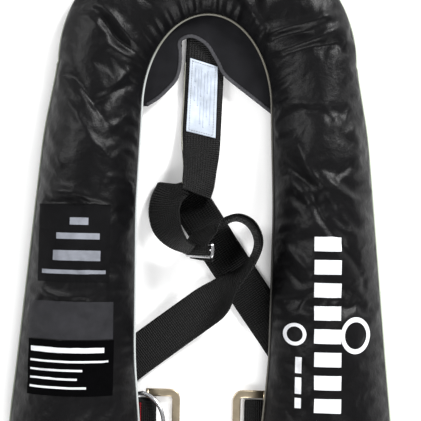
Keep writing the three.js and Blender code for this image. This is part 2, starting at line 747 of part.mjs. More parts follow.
const VALVE = { r: 4.2, top: TUBE.mouth - 1, length: 9 };

function oralValve() {
  const base = VALVE.top - VALVE.length;
  return turned([
    [0, base], [2.2, base], [2.2, base + 5], [VALVE.r, base + 6], [VALVE.r, VALVE.top - 0.6],
    [VALVE.r - 0.6, VALVE.top], [0, VALVE.top],
  ], TUBE.x, TUBE.z);
}

function oralCap() {
  const { r, length, wall } = CAP;
  const top = TUBE.mouth + wall + 0.4;
  const skirt = top - length;
  return turned([
    [r - wall, skirt], [r, skirt], [r, top - 1.5], [r - 1.5, top], [0, top],
    [0, top - wall], [r - wall, top - wall], [r - wall, skirt],
  ], TUBE.x, TUBE.z);
}

const WHISTLE = { x: [117, 135], y: [-175, -137], z: [30.4, 40] };

function whistle() {
  const { x, y, z } = WHISTLE;
  const middle = (x[0] + x[1]) / 2;
  const body = slab(roundedRect(x[0], y[0], x[1], y[1], 5), ...z);
  return cut(
    body,
    box([middle - 3, middle + 3], [y[1] - 14, y[1] - 10], [z[1] - 5, z[1] + 1]),
    turnedUpright([[0, 20], [1.8, 20], [1.8, 50], [0, 50]], middle, y[0] + 5, 8),
  );
}

function whistleLanyard() {
  return tube([
    [136.4, -168, 34], [146, -163, 31.8], [151, -148, 31.6], [149, -132, 31.6],
    [140, -122, 31.6], [126.6, -114, 33],
  ], 1, 8, 20);
}

// ---------------------------------------------------------------- assembly

const PIECES = {
  front_cover: [frontCover(), COVER],
  back_cover: [backCover(), PADDING],
  piping_outer: [piping('outer', 2), PIPING],
  piping_inner: [piping('inner', 0), PIPING],
  hook_strip_left: [closureStrip(-1, 17.1), CLOSURE],
  hook_strip_right: [closureStrip(1, 17.1), CLOSURE],
  loop_strip_left: [closureStrip(-1, 15), CLOSURE],
  loop_strip_right: [closureStrip(1, 15), CLOSURE],
  neck_yoke: [neckYoke(), YOKE],
  yoke_binding: [yokeBinding(), BINDING],
  back_strap: [strip(BACK_STRAP, STRAP_STEPS, 39), WEBBING],
  care_label: [careLabel(), LABEL],
  belt_right: [strip(BELT_RIGHT, 34), WEBBING],
  belt_left: [strip(BELT_LEFT, 36), WEBBING],
  belt_slider: [slider(), BRIGHT_STEEL],
  belt_sleeve_left: [sleeve(mirrorX(SLEEVE_X)), PADDING],
  belt_sleeve_right: [sleeve(SLEEVE_X), PADDING],
  buckle_tab_left: [tab(LEFT_TAB, -1, RING_Y), WEBBING],
  buckle_tab_right: [tab(RIGHT_TAB, 1, RING_Y), WEBBING],
  buckle_ring_left: [buckleRing(LEFT_RING_X, RING_REACH), STEEL],
  buckle_ring_right: [buckleRing(RIGHT_RING_X, -RING_REACH + 1), STEEL],
  harness_ring: [harnessRing(), BRIGHT_STEEL],
  chamber: [chamber(), CHAMBER],
  reflective_tape_left: [reflectiveTape(-118), SILVER_TAPE],
  reflective_tape_right: [reflectiveTape(118), SILVER_TAPE],
  lifting_becket: [liftingBecket(), WEBBING],
  valve_stem: [valveStem(), BRIGHT_STEEL],
  inflator_body: [inflatorBody(), BLACK_PLASTIC],
  inflator_gasket: [washerOnStem(11, 16.2, 17.8), RUBBER],
  inflator_nut: [washerOnStem(8.5, 45.3, 48.6, 6), BRIGHT_STEEL],
  gas_cylinder: [gasCylinder(), CYLINDER_PAINT],
  firing_pin: [firingPin(), BRIGHT_STEEL],
  inflator_lever: [lever(), BLACK_PLASTIC],
  lever_pin: [leverPin(), BRIGHT_STEEL],
  indicator_clip: [indicatorClip(), GREEN_PLASTIC],
  pull_cord: [pullCord(), RED_CORD],
  pull_handle: [pullHandle(), RED_PLASTIC],
  oral_tube: [oralTube(), BLACK_PLASTIC],
  oral_valve: [oralValve(), RED_PLASTIC],
  oral_cap: [oralCap(), RED_PLASTIC],
  whistle: [whistle(), ORANGE_PLASTIC],
  whistle_lanyard: [whistleLanyard(), RED_CORD],
};

const jacket = new THREE.Group();
jacket.position.y = -CENTRE_Y;
for (const [name, [geometry, material]] of Object.entries(PIECES)) {
  const mesh = new THREE.Mesh(geometry, material);
  mesh.name = name;
  jacket.add(mesh);
}

const group = new THREE.Group();
group.add(jacket);

export default group;
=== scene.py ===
"""Looks of the inflatable life jacket: its cover, piping, yoke, webbing, buckle and prints.

Lengths are in millimetres in the jacket's own layout and become metres of the frame in at().
+X is to the right, +Y to the neck and +Z out of the front. The neck arcs are centred on x = 0.
"""
from math import atan2, copysign, cos, exp, pi, radians, sin, sqrt

import bpy
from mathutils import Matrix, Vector, noise
from mathutils.bvhtree import BVHTree


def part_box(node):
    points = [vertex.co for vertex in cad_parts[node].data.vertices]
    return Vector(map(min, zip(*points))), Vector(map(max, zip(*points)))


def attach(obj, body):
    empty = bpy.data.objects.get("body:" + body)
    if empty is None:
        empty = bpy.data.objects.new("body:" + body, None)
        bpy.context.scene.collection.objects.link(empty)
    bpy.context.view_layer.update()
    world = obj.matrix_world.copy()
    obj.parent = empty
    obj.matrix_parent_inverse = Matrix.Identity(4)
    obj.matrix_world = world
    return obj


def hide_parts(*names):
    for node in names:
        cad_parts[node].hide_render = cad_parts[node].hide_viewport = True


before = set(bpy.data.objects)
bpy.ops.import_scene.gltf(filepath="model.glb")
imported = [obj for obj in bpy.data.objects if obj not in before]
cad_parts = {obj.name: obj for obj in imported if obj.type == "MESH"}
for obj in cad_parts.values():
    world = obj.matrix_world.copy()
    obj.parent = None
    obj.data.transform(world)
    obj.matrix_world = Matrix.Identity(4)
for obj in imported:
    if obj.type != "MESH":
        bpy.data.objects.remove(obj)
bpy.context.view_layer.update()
SCENE = bpy.context.scene

MM = 0.001
UP = Vector((0, 0, 1))
NECK_TOP = 277.0
# The frame puts its middle on the jacket's box, so the layout is shifted along Y to meet it.
SHIFT_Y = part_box("piping_outer")[1].y / MM - NECK_TOP

# ---------------- layout, as in the CAD

# The neck's arcs are ellipses: radius along X, radius along Y, and Y of the centre.
# The lobes' edges are straight stretches: Y, and the distance from the middle line.
NECK_INNER = (65, 96, 92)
NECK_OUTER = (149, 139, 138)
LOBE_INNER = [(92, 65), (-8, 69), (-158, 67.5), (-219, 62), (-276, 57)]
LOBE_OUTER = [(138, 149), (68, 162), (-4, 169), (-158, 184), (-219, 190.5), (-276, 193)]
LOBE_END = -276
LOBE_ROUNDING = 45
CORNER_STEPS = (-16, -8, 0, 8, 16)
TIP_TURN = radians(85)
END_FULLNESS = 0.7
TIP_OPEN = cos(TIP_TURN) ** END_FULLNESS
SEAM_Z = 16
FRONT_RIM = 18.5
BACK_RIM = 13.1
LOBE_HEIGHT = 56
NECK_HEIGHT = 42
PIPING_R = 1.15
RING_Y = -217.5
CORD_CLEARANCE = 4
FIRING_CORD = [(-151.5, -184, 16), (-151.5, -230, 16), (-151.5, -262, 16), (-151.5, -280, 16),
               (-151.5, -286.5, 12.5), (-151.5, -290.8, 8)]
WHISTLE_CORD = [(136.4, -168, 34), (146, -163, 31.8), (151, -148, 31.6), (149, -132, 31.6),
                (140, -122, 31.6), (126.6, -114, 33)]


def at(x, y, z):
    """Layout point in millimetres to frame point in metres."""
    return Vector((x, y + SHIFT_Y, z)) * MM


def layout_box(node):
    """Lowest and highest corner of a CAD node, in layout millimetres."""
    return [corner / MM - Vector((0, SHIFT_Y, 0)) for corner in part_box(node)]


def show(obj):
    SCENE.collection.objects.link(obj)


def clamp(value, low=0.0, high=1.0):
    return max(low, min(high, value))


def smooth(t):
    t = clamp(t)
    return t * t * (3 - 2 * t)


def wander(x, y, z):
    """Smooth noise between -1 and 1."""
    return noise.noise(Vector((x, y, z)))


def half_width(table, y):
    """Half-width at y, along straight stretches whose corners are rounded by averaging."""
    total = 0.0
    for step in CORNER_STEPS:
        here = clamp(y + step, table[-1][0], table[0][0])
        for (y0, x0), (y1, x1) in zip(table, table[1:]):
            if y1 <= here <= y0:
                total += x0 + (x1 - x0) * (here - y0) / (y1 - y0)
                break
    return total / len(CORNER_STEPS)


def right_rows(inset, neck=64, lobe=96, end=14):
    """Rows of the right half from the top of the neck to the lobe's tip. Each is the inner
    point, the outer point and how open the lobe still is there. neck, lobe and end are the
    numbers of rows."""
    rows = []
    for k in range(neck + 1):
        turn = pi / 2 * (1 - k / neck)
        pair = []
        for (rx, ry, y), grow in ((NECK_INNER, inset), (NECK_OUTER, -inset)):
            pair.append(Vector(((rx + grow) * cos(turn), y + (ry + grow) * sin(turn))))
        rows.append((pair[0], pair[1], 1.0))
    end_start = LOBE_END + LOBE_ROUNDING
    for k in range(1, lobe + 1):
        y_in = NECK_INNER[2] + (end_start - NECK_INNER[2]) * k / lobe
        y_out = NECK_OUTER[2] + (end_start - NECK_OUTER[2]) * k / lobe
        rows.append((Vector((half_width(LOBE_INNER, y_in) + inset, y_in)),
                     Vector((half_width(LOBE_OUTER, y_out) - inset, y_out)), 1.0))
    for k in range(1, end + 1):
        turn = TIP_TURN * k / end
        y = end_start - (LOBE_ROUNDING - inset) * sin(turn) ** END_FULLNESS
        open_part = cos(turn) ** END_FULLNESS
        inner = Vector((half_width(LOBE_INNER, y) + inset, y))
        outer = Vector((half_width(LOBE_OUTER, y) - inset, y))
        middle = (inner + outer) / 2
        rows.append((middle.lerp(inner, open_part), middle.lerp(outer, open_part), open_part))
    return rows


def all_rows(inset):
    """Rows from the left lobe's tip round the neck to the right lobe's tip."""
    right = right_rows(inset)
    left = [(Vector((-a.x, a.y)), Vector((-b.x, b.y)), w) for a, b, w in reversed(right[1:])]
    return left + right


# ---------------- materials

BEAD_SCALE = 1800
# Width in metres over which the piping's painted highlight and painted shade are spread.
PIPING_SHEEN_SPAN = 0.4


class Nodes:
    """A material's node tree, with short calls to add nodes and link them."""

    def __init__(self, name):
        self.material = bpy.data.materials.new(name)
        self.material.use_nodes = True
        self.tree = self.material.node_tree
        self.shader = self.tree.nodes["Principled BSDF"]

    def add(self, kind, **values):
        node = self.tree.nodes.new(kind)
        for key, value in values.items():
            if key in node.inputs:
                node.inputs[key].default_value = value
            else:
                setattr(node, key, value)
        return node

    def link(self, source, target):
        self.tree.links.new(source, target)

    def set(self, **values):
        for key, value in values.items():
            self.shader.inputs[key.replace("_", " ")].default_value = value

    def coords(self, uv=False):
        return self.add("ShaderNodeTexCoord").outputs["UV" if uv else "Object"]

    def through(self, source, kind, socket, result, **values):
        """Adds a node, links the source into its socket and returns its result."""
        node = self.add(kind, **values)
        self.link(source, node.inputs[socket])
        return node.outputs[result]

    def stretch(self, vector, scale):
        return self.through(vector, "ShaderNodeMapping", "Vector", "Vector", Scale=scale)

    def noise(self, vector, scale, detail=3.0, rough=0.55):
        return self.through(vector, "ShaderNodeTexNoise", "Vector", "Fac", Scale=scale,
                            Detail=detail, Roughness=rough)

    def wave(self, vector, scale, direction="X", distort=0.0):
        return self.through(vector, "ShaderNodeTexWave", "Vector", "Fac", Scale=scale,
                            Distortion=distort, bands_direction=direction)

    def beads(self, vector, scale):
        return self.through(vector, "ShaderNodeTexVoronoi", "Vector", "Distance", Scale=scale)

    def ramp(self, factor, stops):
        node = self.add("ShaderNodeValToRGB")
        for _ in stops[2:]:
            node.color_ramp.elements.new(0.5)
        for element, (place, colour) in zip(node.color_ramp.elements, stops):
            element.position = place
            element.color = (*colour, 1)
        self.link(factor, node.inputs["Fac"])
        return node.outputs["Color"]

    def colour(self, factor, stops):
        """Base colour from a ramp over the factor: each stop is (position, colour)."""
        self.link(self.ramp(factor, stops), self.shader.inputs["Base Color"])

    def mottle(self, factor, colour, dark, low=0.3, light=1.0, high=0.7):
        """Base colour that wavers between a dark and a light share of the colour."""
        self.colour(factor, [(low, shade(colour, dark)), (high, shade(colour, light))])

    def roughness(self, factor, low, high):
        span = {"To Min": low, "To Max": high}
        gloss = self.through(factor, "ShaderNodeMapRange", "Value", "Result", **span)
        self.link(gloss, self.shader.inputs["Roughness"])

    def math(self, operation, a, b):
        node = self.add("ShaderNodeMath", operation=operation)
        for socket, value in zip(node.inputs, (a, b)):
            if isinstance(value, (int, float)):
                socket.default_value = value
            else:
                self.link(value, socket)
        return node.outputs["Value"]

    def bump(self, heights):
        """Chains bumps: each is (height socket, strength, distance in metres)."""
        normal = None
        for height, strength, distance in heights:
            node = self.add("ShaderNodeBump", Strength=strength, Distance=distance)
            self.link(height, node.inputs["Height"])
            if normal is not None:
                self.link(normal, node.inputs["Normal"])
            normal = node.outputs["Normal"]
        self.link(normal, self.shader.inputs["Normal"])


def shade(colour, share):
    return tuple(c * share for c in colour)


def grey(value):
    return (value, value, value)


def coated_nylon():
    """Black coated cloth: fine plain weave, slight mottling and a satin sheen."""
    n = Nodes("coated_nylon")
    place = n.coords()
    n.mottle(n.noise(place, 38, 5), (0.98, 0.94, 1.12), 0.0016, light=0.0032)
    n.roughness(n.noise(place, 160, 4), 0.34, 0.46)
    n.set(Specular_IOR_Level=0.15)
    weave = n.math("ADD", n.wave(place, 520, "X"), n.wave(place, 520, "Y"))
    creases = n.noise(place, 60, 6, 0.6)
    n.bump([(creases, 0.5, 0.0016), (n.noise(place, 240, 4), 0.25, 0.0005), (weave, 0.12, 0.0002)])
    return n.material


def padded_mesh():
    """Matt spacer mesh on the side against the wearer."""
    n = Nodes("padded_mesh")
    place = n.coords()
    n.colour(n.noise(place, 45), [(0.3, grey(0.012)), (0.7, grey(0.022))])
    n.set(Roughness=0.85, Sheen_Weight=0.1, Specular_IOR_Level=0.25)
    n.bump([(n.beads(place, 420), 0.6, 0.0006), (n.noise(place, 70, 4), 0.3, 0.001)])
    return n.material


def webbing_material(name, level, gloss=0.6):
    """Ribbed polyester webbing; UV runs in millimetres along and across the strap."""
    n = Nodes(name)
    uv = n.coords(uv=True)
    cross_ribs = n.wave(n.stretch(uv, (1, 0.3, 1)), 0.15, "X", 1.2)
    cords = n.wave(uv, 0.11, "Y", 0.3)
    # Colour follows the ribs: painted shade in their grooves and painted light on their crests, plus
    # random tone from the noise.
    ribs_painted_shade_and_tone = n.math("ADD", n.math("MULTIPLY", cross_ribs, cords), n.noise(uv, 0.12, 4))
    n.colour(ribs_painted_shade_and_tone, [(0.35, grey(level * 0.4)), (1.1, grey(level * 2.6))])
    n.roughness(n.noise(uv, 0.3, 3), gloss - 0.08, gloss + 0.1)
    n.set(Specular_IOR_Level=0.2)
    n.bump([(cross_ribs, 0.9, 0.0009), (cords, 0.5, 0.0006)])
    return n.material


def cloth_material(name, colour, scale=900, rough=0.85, bump=0.35, gloss=0.1):
    """Plain woven cloth; scale is the fineness of the weave and bump its depth."""
    n = Nodes(name)
    place = n.coords()
    n.mottle(n.noise(place, 60, 4), colour, 0.75, light=1.2)
    n.set(Roughness=rough, Specular_IOR_Level=gloss)
    weave = n.math("ADD", n.wave(place, scale, "X"), n.wave(place, scale, "Y"))
    n.bump([(weave, bump, 0.0002), (n.noise(place, 140, 4), 0.3, 0.0005)])
    return n.material


def reflective_cloth(name, colour, rough):
    """Glass-bead reflective tape: pale, slightly metallic, with a fine bead texture."""
    n = Nodes(name)
    place = n.coords()
    n.mottle(n.noise(place, 90, 4), colour, 0.8, high=0.65)
    n.set(Roughness=rough, Metallic=0.25, Specular_IOR_Level=0.6)
    n.bump([(n.beads(place, BEAD_SCALE), 0.3, 0.0002), (n.noise(place, 200), 0.2, 0.0003)])
    return n.material


def piping_painted_sheen(name, stops):
    """Reflective piping. Its base colour is painted bright or dull by side: painted highlight
    where its beads catch the light and painted shade elsewhere; stops run along X over the
    jacket's width."""
    n = Nodes(name)
    place = n.coords()
    x = n.through(place, "ShaderNodeSeparateXYZ", "Vector", "X")
    n.colour(n.math("ADD", n.math("MULTIPLY", x, 1 / PIPING_SHEEN_SPAN), 0.5), stops)
    n.set(Roughness=0.45, Metallic=0.1, Specular_IOR_Level=0.5)
    n.bump([(n.beads(place, BEAD_SCALE), 0.3, 0.0002)])
    return n.material


def metal(name, colour, rough):
    """Steel with fine brushing and small variations of gloss."""
    n = Nodes(name)
    place = n.coords()
    lines = n.noise(n.stretch(place, (60, 900, 900)), 1.0, 4)
    n.mottle(n.noise(place, 120, 4), colour, 0.82, low=0.35)
    n.roughness(lines, rough - 0.07, rough + 0.12)
    n.set(Metallic=1.0)
    n.bump([(lines, 0.25, 0.0001)])
    return n.material


def plastic(name, colour, rough=0.4):
    """Moulded plastic with a faintly uneven gloss."""
    n = Nodes(name)
    place = n.coords()
    n.mottle(n.noise(place, 150, 3), colour, 0.85)
    n.roughness(n.noise(place, 500, 3), rough - 0.06, rough + 0.08)
    n.bump([(n.noise(place, 1200, 2), 0.15, 0.0001)])
    return n.material


COVER = coated_nylon()
PADDING = padded_mesh()
# Piping colours: painted highlight and painted shade by side along X, not the cords' own colours.
PIPING_INNER = piping_painted_sheen("piping_inner_painted_sheen", [
    (0.33, (0.52, 0.55, 0.55)), (0.38, (0.2, 0.2, 0.17)), (0.65, (0.17, 0.16, 0.13)),
    (0.675, (0.04, 0.04, 0.04))])
PIPING_OUTER = piping_painted_sheen("piping_outer_painted_sheen", [
    (0.1, (0.2, 0.22, 0.18)), (0.5, (0.2, 0.2, 0.17)), (0.9, (0.5, 0.55, 0.46))])
YOKE = cloth_material("yoke_cloth", (0.009, 0.009, 0.0105))
HEM = cloth_material("hem_tape", (0.05, 0.05, 0.055), rough=0.6)
WEBBING = webbing_material("belt_webbing", 0.0013)
STRAP = webbing_material("strap_webbing", 0.0025, 0.5)
LABEL = cloth_material("label_cloth", (0.44, 0.49, 0.56), rough=0.55, bump=0.2)
FAINT_PRINT = cloth_material("label_print", (0.42, 0.47, 0.56), rough=0.6)
THREAD = cloth_material("black_thread", (0.03, 0.03, 0.033), rough=0.7)
GREY_THREAD = cloth_material("grey_thread", (0.25, 0.25, 0.27), rough=0.7)
RED_THREAD = cloth_material("red_thread", (0.32, 0.012, 0.02), rough=0.7)
# Buckle steel tinted tan: a painted warm reflection of the surroundings on stainless steel.
STEEL_PAINTED_WARM_REFLECTION = metal("buckle_steel", (0.5, 0.42, 0.3), 0.38)
BRIGHT_STEEL = metal("bright_steel", (0.72, 0.72, 0.74), 0.22)
PALE_PRINT = reflective_cloth("pale_print", (0.78, 0.79, 0.82), 0.5)
DARK_PATCH = cloth_material("dark_patch", (0.001, 0.001, 0.0012), rough=0.8, gloss=0.02)
CHAMBER_CLOTH = cloth_material("chamber_cloth", (0.75, 0.36, 0.01), 700, 0.5)
SQUARE_PATCH = cloth_material("square_patch", (0.0045, 0.0045, 0.005), rough=0.75, gloss=0.05)
PATCH_GREY = cloth_material("patch_grey", (0.022, 0.022, 0.025), rough=0.6)
GREY_PRINT = cloth_material("grey_print", (0.2, 0.21, 0.24), rough=0.6)
RED_BRAID = cloth_material("red_braid", (0.5, 0.02, 0.02), 1600, 0.7)
GREY_BRAID = cloth_material("grey_braid", (0.4, 0.41, 0.4), 1600, 0.7)
RED_PLASTIC = plastic("red_plastic", (0.55, 0.02, 0.02))

# ---------------- meshes


def piece(name, verts, faces, material, slot, body="jacket", uvs=None, replaces=()):
    """A mesh object in the frame, riding on a body. verts are frame points in metres."""
    mesh = bpy.data.meshes.new(name)
    mesh.from_pydata([tuple(v) for v in verts], [], faces)
    if uvs is not None:
        layer = mesh.uv_layers.new(name="UVMap")
        for loop in mesh.loops:
            layer.data[loop.index].uv = uvs[loop.vertex_index]
    mesh.materials.append(material)
    mesh.polygons.foreach_set("use_smooth", [True] * len(mesh.polygons))
    mesh.validate()
    mesh.update()
    obj = bpy.data.objects.new(name, mesh)
    show(obj)
    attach(obj, body)
    if replaces:
        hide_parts(*replaces)
    return obj


def modify(obj, kind, **values):
    modifier = obj.modifiers.new(kind.lower(), kind)
    for key, value in values.items():
        setattr(modifier, key, value)


def smoother(obj):
    """Adds one level of subdivision."""
    modify(obj, "SUBSURF", levels=1, render_levels=1)


def thicken(obj, thick, offset=-1):
    """Gives a sheet its thickness in millimetres, on its inner side unless offset says so."""
    modify(obj, "SOLIDIFY", thickness=thick * MM, offset=offset)


def apply_modifiers(obj):
    """Bakes the modifiers into the mesh, so that nothing is left to evaluate."""
    evaluated = obj.evaluated_get(bpy.context.evaluated_depsgraph_get())
    mesh = bpy.data.meshes.new_from_object(evaluated)
    obj.modifiers.clear()
    obj.data = mesh
    mesh.polygons.foreach_set("use_smooth", [True] * len(mesh.polygons))


def grid_faces(rows, columns, flip=False, wrap=False):
    """Quads over a grid of vertices; wrap joins the last column to the first."""
    faces = []
    for r in range(rows - 1):
        for c in range(columns if wrap else columns - 1):
            d = (c + 1) % columns
            quad = (r * columns + c, r * columns + d, (r + 1) * columns + d, (r + 1) * columns + c)
            faces.append(quad[::-1] if flip else quad)
    return faces


def grid_piece(name, point_at, rows, columns, material, slot, **rest):
    """Sheet whose vertices are point_at(u, v): u runs along the columns and v down the rows."""
    verts = [point_at(c / (columns - 1), r / (rows - 1)) for r in range(rows) for c in range(columns)]
    return piece(name, verts, grid_faces(rows, columns, flip=True), material, slot, **rest)


def hose_faces(rings, around, flip=True):
    """Faces of a hose made of rings of `around` vertices, with both ends closed."""
    first = tuple(range(around))
    last = tuple((rings - 1) * around + i for i in reversed(range(around)))
    caps = [first, last] if flip else [first[::-1], last[::-1]]
    return grid_faces(rings, around, flip=flip, wrap=True) + caps


def spline(points, steps):
    """Catmull-Rom curve through the points, with `steps` spans spread evenly over them."""
    points = [Vector(p) for p in points]
    out = []
    for k in range(steps + 1):
        t = k / steps * (len(points) - 1)
        i = min(int(t), len(points) - 2)
        u = t - i
        p1, p2 = points[i], points[i + 1]
        p0 = points[i - 1] if i else p1 * 2 - p2
        p3 = points[i + 2] if i + 2 < len(points) else p2 * 2 - p1
        out.append(0.5 * (2 * p1 + (p2 - p0) * u + (2 * p0 - 5 * p1 + 4 * p2 - p3) * u * u
                          + (3 * p1 - p0 - 3 * p2 + p3) * u ** 3))
    return out


def evenly(points, pitch):
    """Points `pitch` apart along a polyline, with the direction there."""
    out, left = [], 0.0
    for a, b in zip(points, points[1:]):
        span = (b - a).length
        while left <= span and span > 0:
            out.append((a.lerp(b, left / span), (b - a) / span))
            left += pitch
        left -= span
    return out


def frames_along(points, closed=False):
    """Point, tangent, side and up along a polyline, with Z as up."""
    out = []
    count = len(points)
    for k, p in enumerate(points):
        before = points[(k - 1) % count] if closed or k else p
        after = points[(k + 1) % count] if closed or k < count - 1 else p
        tangent = (after - before).normalized()
        up = UP if abs(tangent.z) < 0.95 else Vector((0, 1, 0))
        side = tangent.cross(up).normalized()
        out.append((p, tangent, side, side.cross(tangent)))
    return out


def tube_mesh(points, radius, sides=12, closed=False):
    """Vertices (millimetres) and faces of a round tube. closed joins its end to its start;
    otherwise each end gets a cap."""
    verts = []
    for p, _, side, up in frames_along(points, closed):
        for i in range(sides):
            turn = 2 * pi * i / sides
            verts.append(p + side * radius * cos(turn) + up * radius * sin(turn))
    if not closed:
        return verts, hose_faces(len(points), sides)
    last = (len(points) - 1) * sides
    faces = grid_faces(len(points), sides, flip=True, wrap=True)
    faces += [(last + i, i, (i + 1) % sides, last + (i + 1) % sides) for i in range(sides)]
    return verts, faces


def tube(name, points, radius, material, slot, sides=12, closed=False, **rest):
    verts, faces = tube_mesh(points, radius, sides, closed)
    return piece(name, [at(*v) for v in verts], faces, material, slot, **rest)


RIBBON_COLUMNS = 16


def ribbon_section(width, thick, crown):
    """Outline of webbing: round selvedges, and a top that bulges by crown in the middle."""
    half, corner = width / 2, thick / 2

    def rim(u):
        return corner * sqrt(max(0.0, 1 - (max(abs(u) - half + corner, 0) / corner) ** 2))

    across = [-half + width * i / RIBBON_COLUMNS for i in range(RIBBON_COLUMNS + 1)]
    top = [(u, rim(u) + crown * (1 - (u / half) ** 2)) for u in across]
    return top + [(u, -rim(u)) for u in across[-2:0:-1]]


def ribbon(name, path, width, thick, material, slot, steps=140, crown=0.25, **rest):
    """Webbing along a path of (point, direction across). Its UV map is in millimetres."""
    points = spline([p for p, _ in path], steps)
    acrosses = spline([w for _, w in path], steps)
    section = ribbon_section(width, thick, crown)
    verts, uvs, run = [], [], 0.0
    for k, p in enumerate(points):
        tangent = (points[min(k + 1, steps)] - points[max(k - 1, 0)]).normalized()
        across = acrosses[k] - tangent * acrosses[k].dot(tangent)
        across.normalize()
        normal = across.cross(tangent)
        if k:
            run += (p - points[k - 1]).length
        for u, v in section:
            verts.append(at(*(p + across * u + normal * v)))
            uvs.append((run, u))
    faces = hose_faces(len(points), len(section), flip=False)
    return piece(name, verts, faces, material, slot, uvs=uvs, **rest)


def slab(name, outline, low, high, bevel, material, slot, **rest):
    """Prism of a closed outline in millimetres with rounded edges."""
    count = len(outline)
    verts = [at(x, y, z) for z in (low, high) for x, y in outline]
    faces = [tuple(reversed(range(count))), tuple(range(count, 2 * count))]
    faces += [(i, (i + 1) % count, count + (i + 1) % count, count + i) for i in range(count)]
    obj = piece(name, verts, faces, material, slot, **rest)
    modify(obj, "BEVEL", width=bevel * MM, segments=3, limit_method="ANGLE")
    modify(obj, "WEIGHTED_NORMAL", keep_sharp=True)


# Rings of one stitch: place along its length, and share of its full radius there.
STITCH_RINGS = ((-0.5, 0.25), (-0.38, 0.8), (-0.12, 1.0), (0.12, 1.0), (0.38, 0.8), (0.5, 0.25))
STITCH_SIDES = 6


def stitch_row(name, points, material, length=2.6, gap=1.2, radius=0.32, slot="binding"):
    """One mesh of short thread bumps along a polyline of millimetre points."""
    verts, faces = [], []
    for p, along in evenly([Vector(q) for q in points], length + gap):
        side = along.cross(UP).normalized()
        up = side.cross(along)
        start = len(verts)
        for place, fat in STITCH_RINGS:
            for i in range(STITCH_SIDES):
                turn = 2 * pi * i / STITCH_SIDES
                spoke = side * cos(turn) + up * sin(turn)
                verts.append(at(*(p + along * length * place + radius * fat * spoke)))
        stitch = hose_faces(len(STITCH_RINGS), STITCH_SIDES, flip=False)
        faces += [tuple(start + i for i in face) for face in stitch]
    piece(name, verts, faces, material, slot)


# ---------------- cover

# Folds of the cover: x and y of the start and the end, half-width of the crest, and height,
# which is negative for a valley.
FOLDS = [
    (-112, 190, -66, 154, 3.5, 5), (-104, 176, -70, 148, 3, -4.5), (-128, 196, -96, 158, 6, 3),
    (-96, 158, -66, 130, 4, 4), (-70, 128, -104, 108, 4.5, 4.5), (-66, 116, -110, 92, 4.5, -4),
    (-136, 124, -72, 52, 5, -3.5), (-148, 112, -84, 36, 6, 3.5), (-70, 84, -96, 74, 2.5, 3),
    (-70, 70, -92, 56, 2.5, 2.5), (-72, 48, -88, 40, 2.5, 2.5), (-164, 10, -112, 0, 3.5, 4.5),
    (-164, -2, -120, -10, 3, -3.5), (-76, -20, -100, -64, 5, 2.5), (-160, -88, -110, -94, 3, 2.5),
    (-72, 14, -96, 22, 3, 3), (-154, 70, -140, 34, 5, 2.5), (46, 158, 134, 197, 3, 5),
    (50, 154, 96, 168, 2.5, -5), (60, 148, 139, 180, 3, 5.5), (70, 142, 124, 160, 3, -4),
    (26, 200, 50, 178, 4, 5), (40, 206, 60, 176, 3.5, -4), (52, 196, 84, 214, 4, 4),
    (14, 240, 30, 200, 5, -3), (73, 52, 104, 14, 3.5, -6), (104, 14, 132, -40, 3.5, -5.5),
    (132, -40, 160, -84, 4, -4.5), (84, 60, 118, 16, 5, 4), (118, 16, 146, -38, 5, 3.5),
    (74, 36, 98, 0, 4, 3.5), (140, 78, 158, 38, 5, 4), (116, 26, 158, 2, 5, 3.5),
    (154, 50, 164, 38, 3, -5), (74, -30, 100, -72, 4, 4), (74, -52, 92, -82, 3, -3.5),
    (80, 104, 112, 92, 4, 2.5), (-60, 250, -30, 206, 5, 3.5), (-96, 226, -58, 190, 4, -3),
    (82, -140, 110, -196, 5, 2.5), (-84, -160, -112, -212, 5, 2.5),
]
EDGE_INSET = 0.9
COVER_COLUMNS = 45
# Taken off the full height to give the crown's height over the rim. The folds add to it.
CROWN_LESS = 21
# Noise of the crumples: frequency per mm, and weight.
CRUMPLES = ((0.014, 2.2), (0.035, 1.3), (0.09, 0.6))


def fold_height(x, y):
    """Sum of the folds' crests and valleys at a point of the cover. Each crest is slightly bent,
    sharp along its middle, and dies away past its ends."""
    total = 0.0
    here = Vector((x, y))
    for x0, y0, x1, y1, width, height in FOLDS:
        a = Vector((x0, y0))
        run = Vector((x1, y1)) - a
        t = (here - a).dot(run) / run.length_squared
        bend = 4 * sin(3.1 * t + a.x)
        aside = (here - a - run * t).length
        side = 1 if run.cross(here - a) > 0 else -1
        away = sqrt((aside * side - bend) ** 2 + 2) - 1.4
        ends = smooth((t + 0.15) / 0.3) * smooth((1.15 - t) / 0.3)
        total += height * exp(-away / width) * ends
    return total


def crumple(x, y, seed):
    """Ridged noise: sharp little crests, as coated cloth makes when it is folded away."""
    warp = wander(x * 0.02, y * 0.02, seed) * 1.2
    total = 0.0
    for scale, weight in CRUMPLES:
        n = wander(x * scale * 1.25 + warp, y * scale * 0.8, seed + scale * 70)
        total += weight * (1 - abs(n) * 3.2)
    return total


def gathers(run, inward, seed):
    """Puckers square to a seam: strongest at the stitches, gone 24 mm inside."""
    wave = wander(run * 0.11, seed, inward * 0.015)
    fine = wander(run * 0.3, seed + 9, inward * 0.04)
    fade = exp(-((inward - 4.5) / 11) ** 2) * smooth(inward / 2)
    return fade * (3.6 * wave + 1.3 * fine)


# How far the columns are drawn together towards the seams, where the cloth turns sharply.
SEAM_CROWDING = 0.55


def panel_points(rows, columns, height):
    """Grid over the rows. height(point, share across, openness, run, width of the row) is z."""
    points, run, last = [], 0.0, None
    for inner, outer, open_part in rows:
        middle = (inner + outer) / 2
        if last is not None:
            run += (middle - last).length
        last = middle
        width = (outer - inner).length
        for c in range(columns):
            even = c / (columns - 1)
            share = SEAM_CROWDING * (0.5 - 0.5 * cos(pi * even))
            share += (1 - SEAM_CROWDING) * even
            p = inner.lerp(outer, share)
            points.append(Vector((p.x, p.y, height(p, share, open_part, run, width))))
    return points


def tip_fullness(open_part):
    """0 where the lobe closes at its tip, 1 where it is fully open."""
    return clamp((open_part - TIP_OPEN) / (1 - TIP_OPEN))


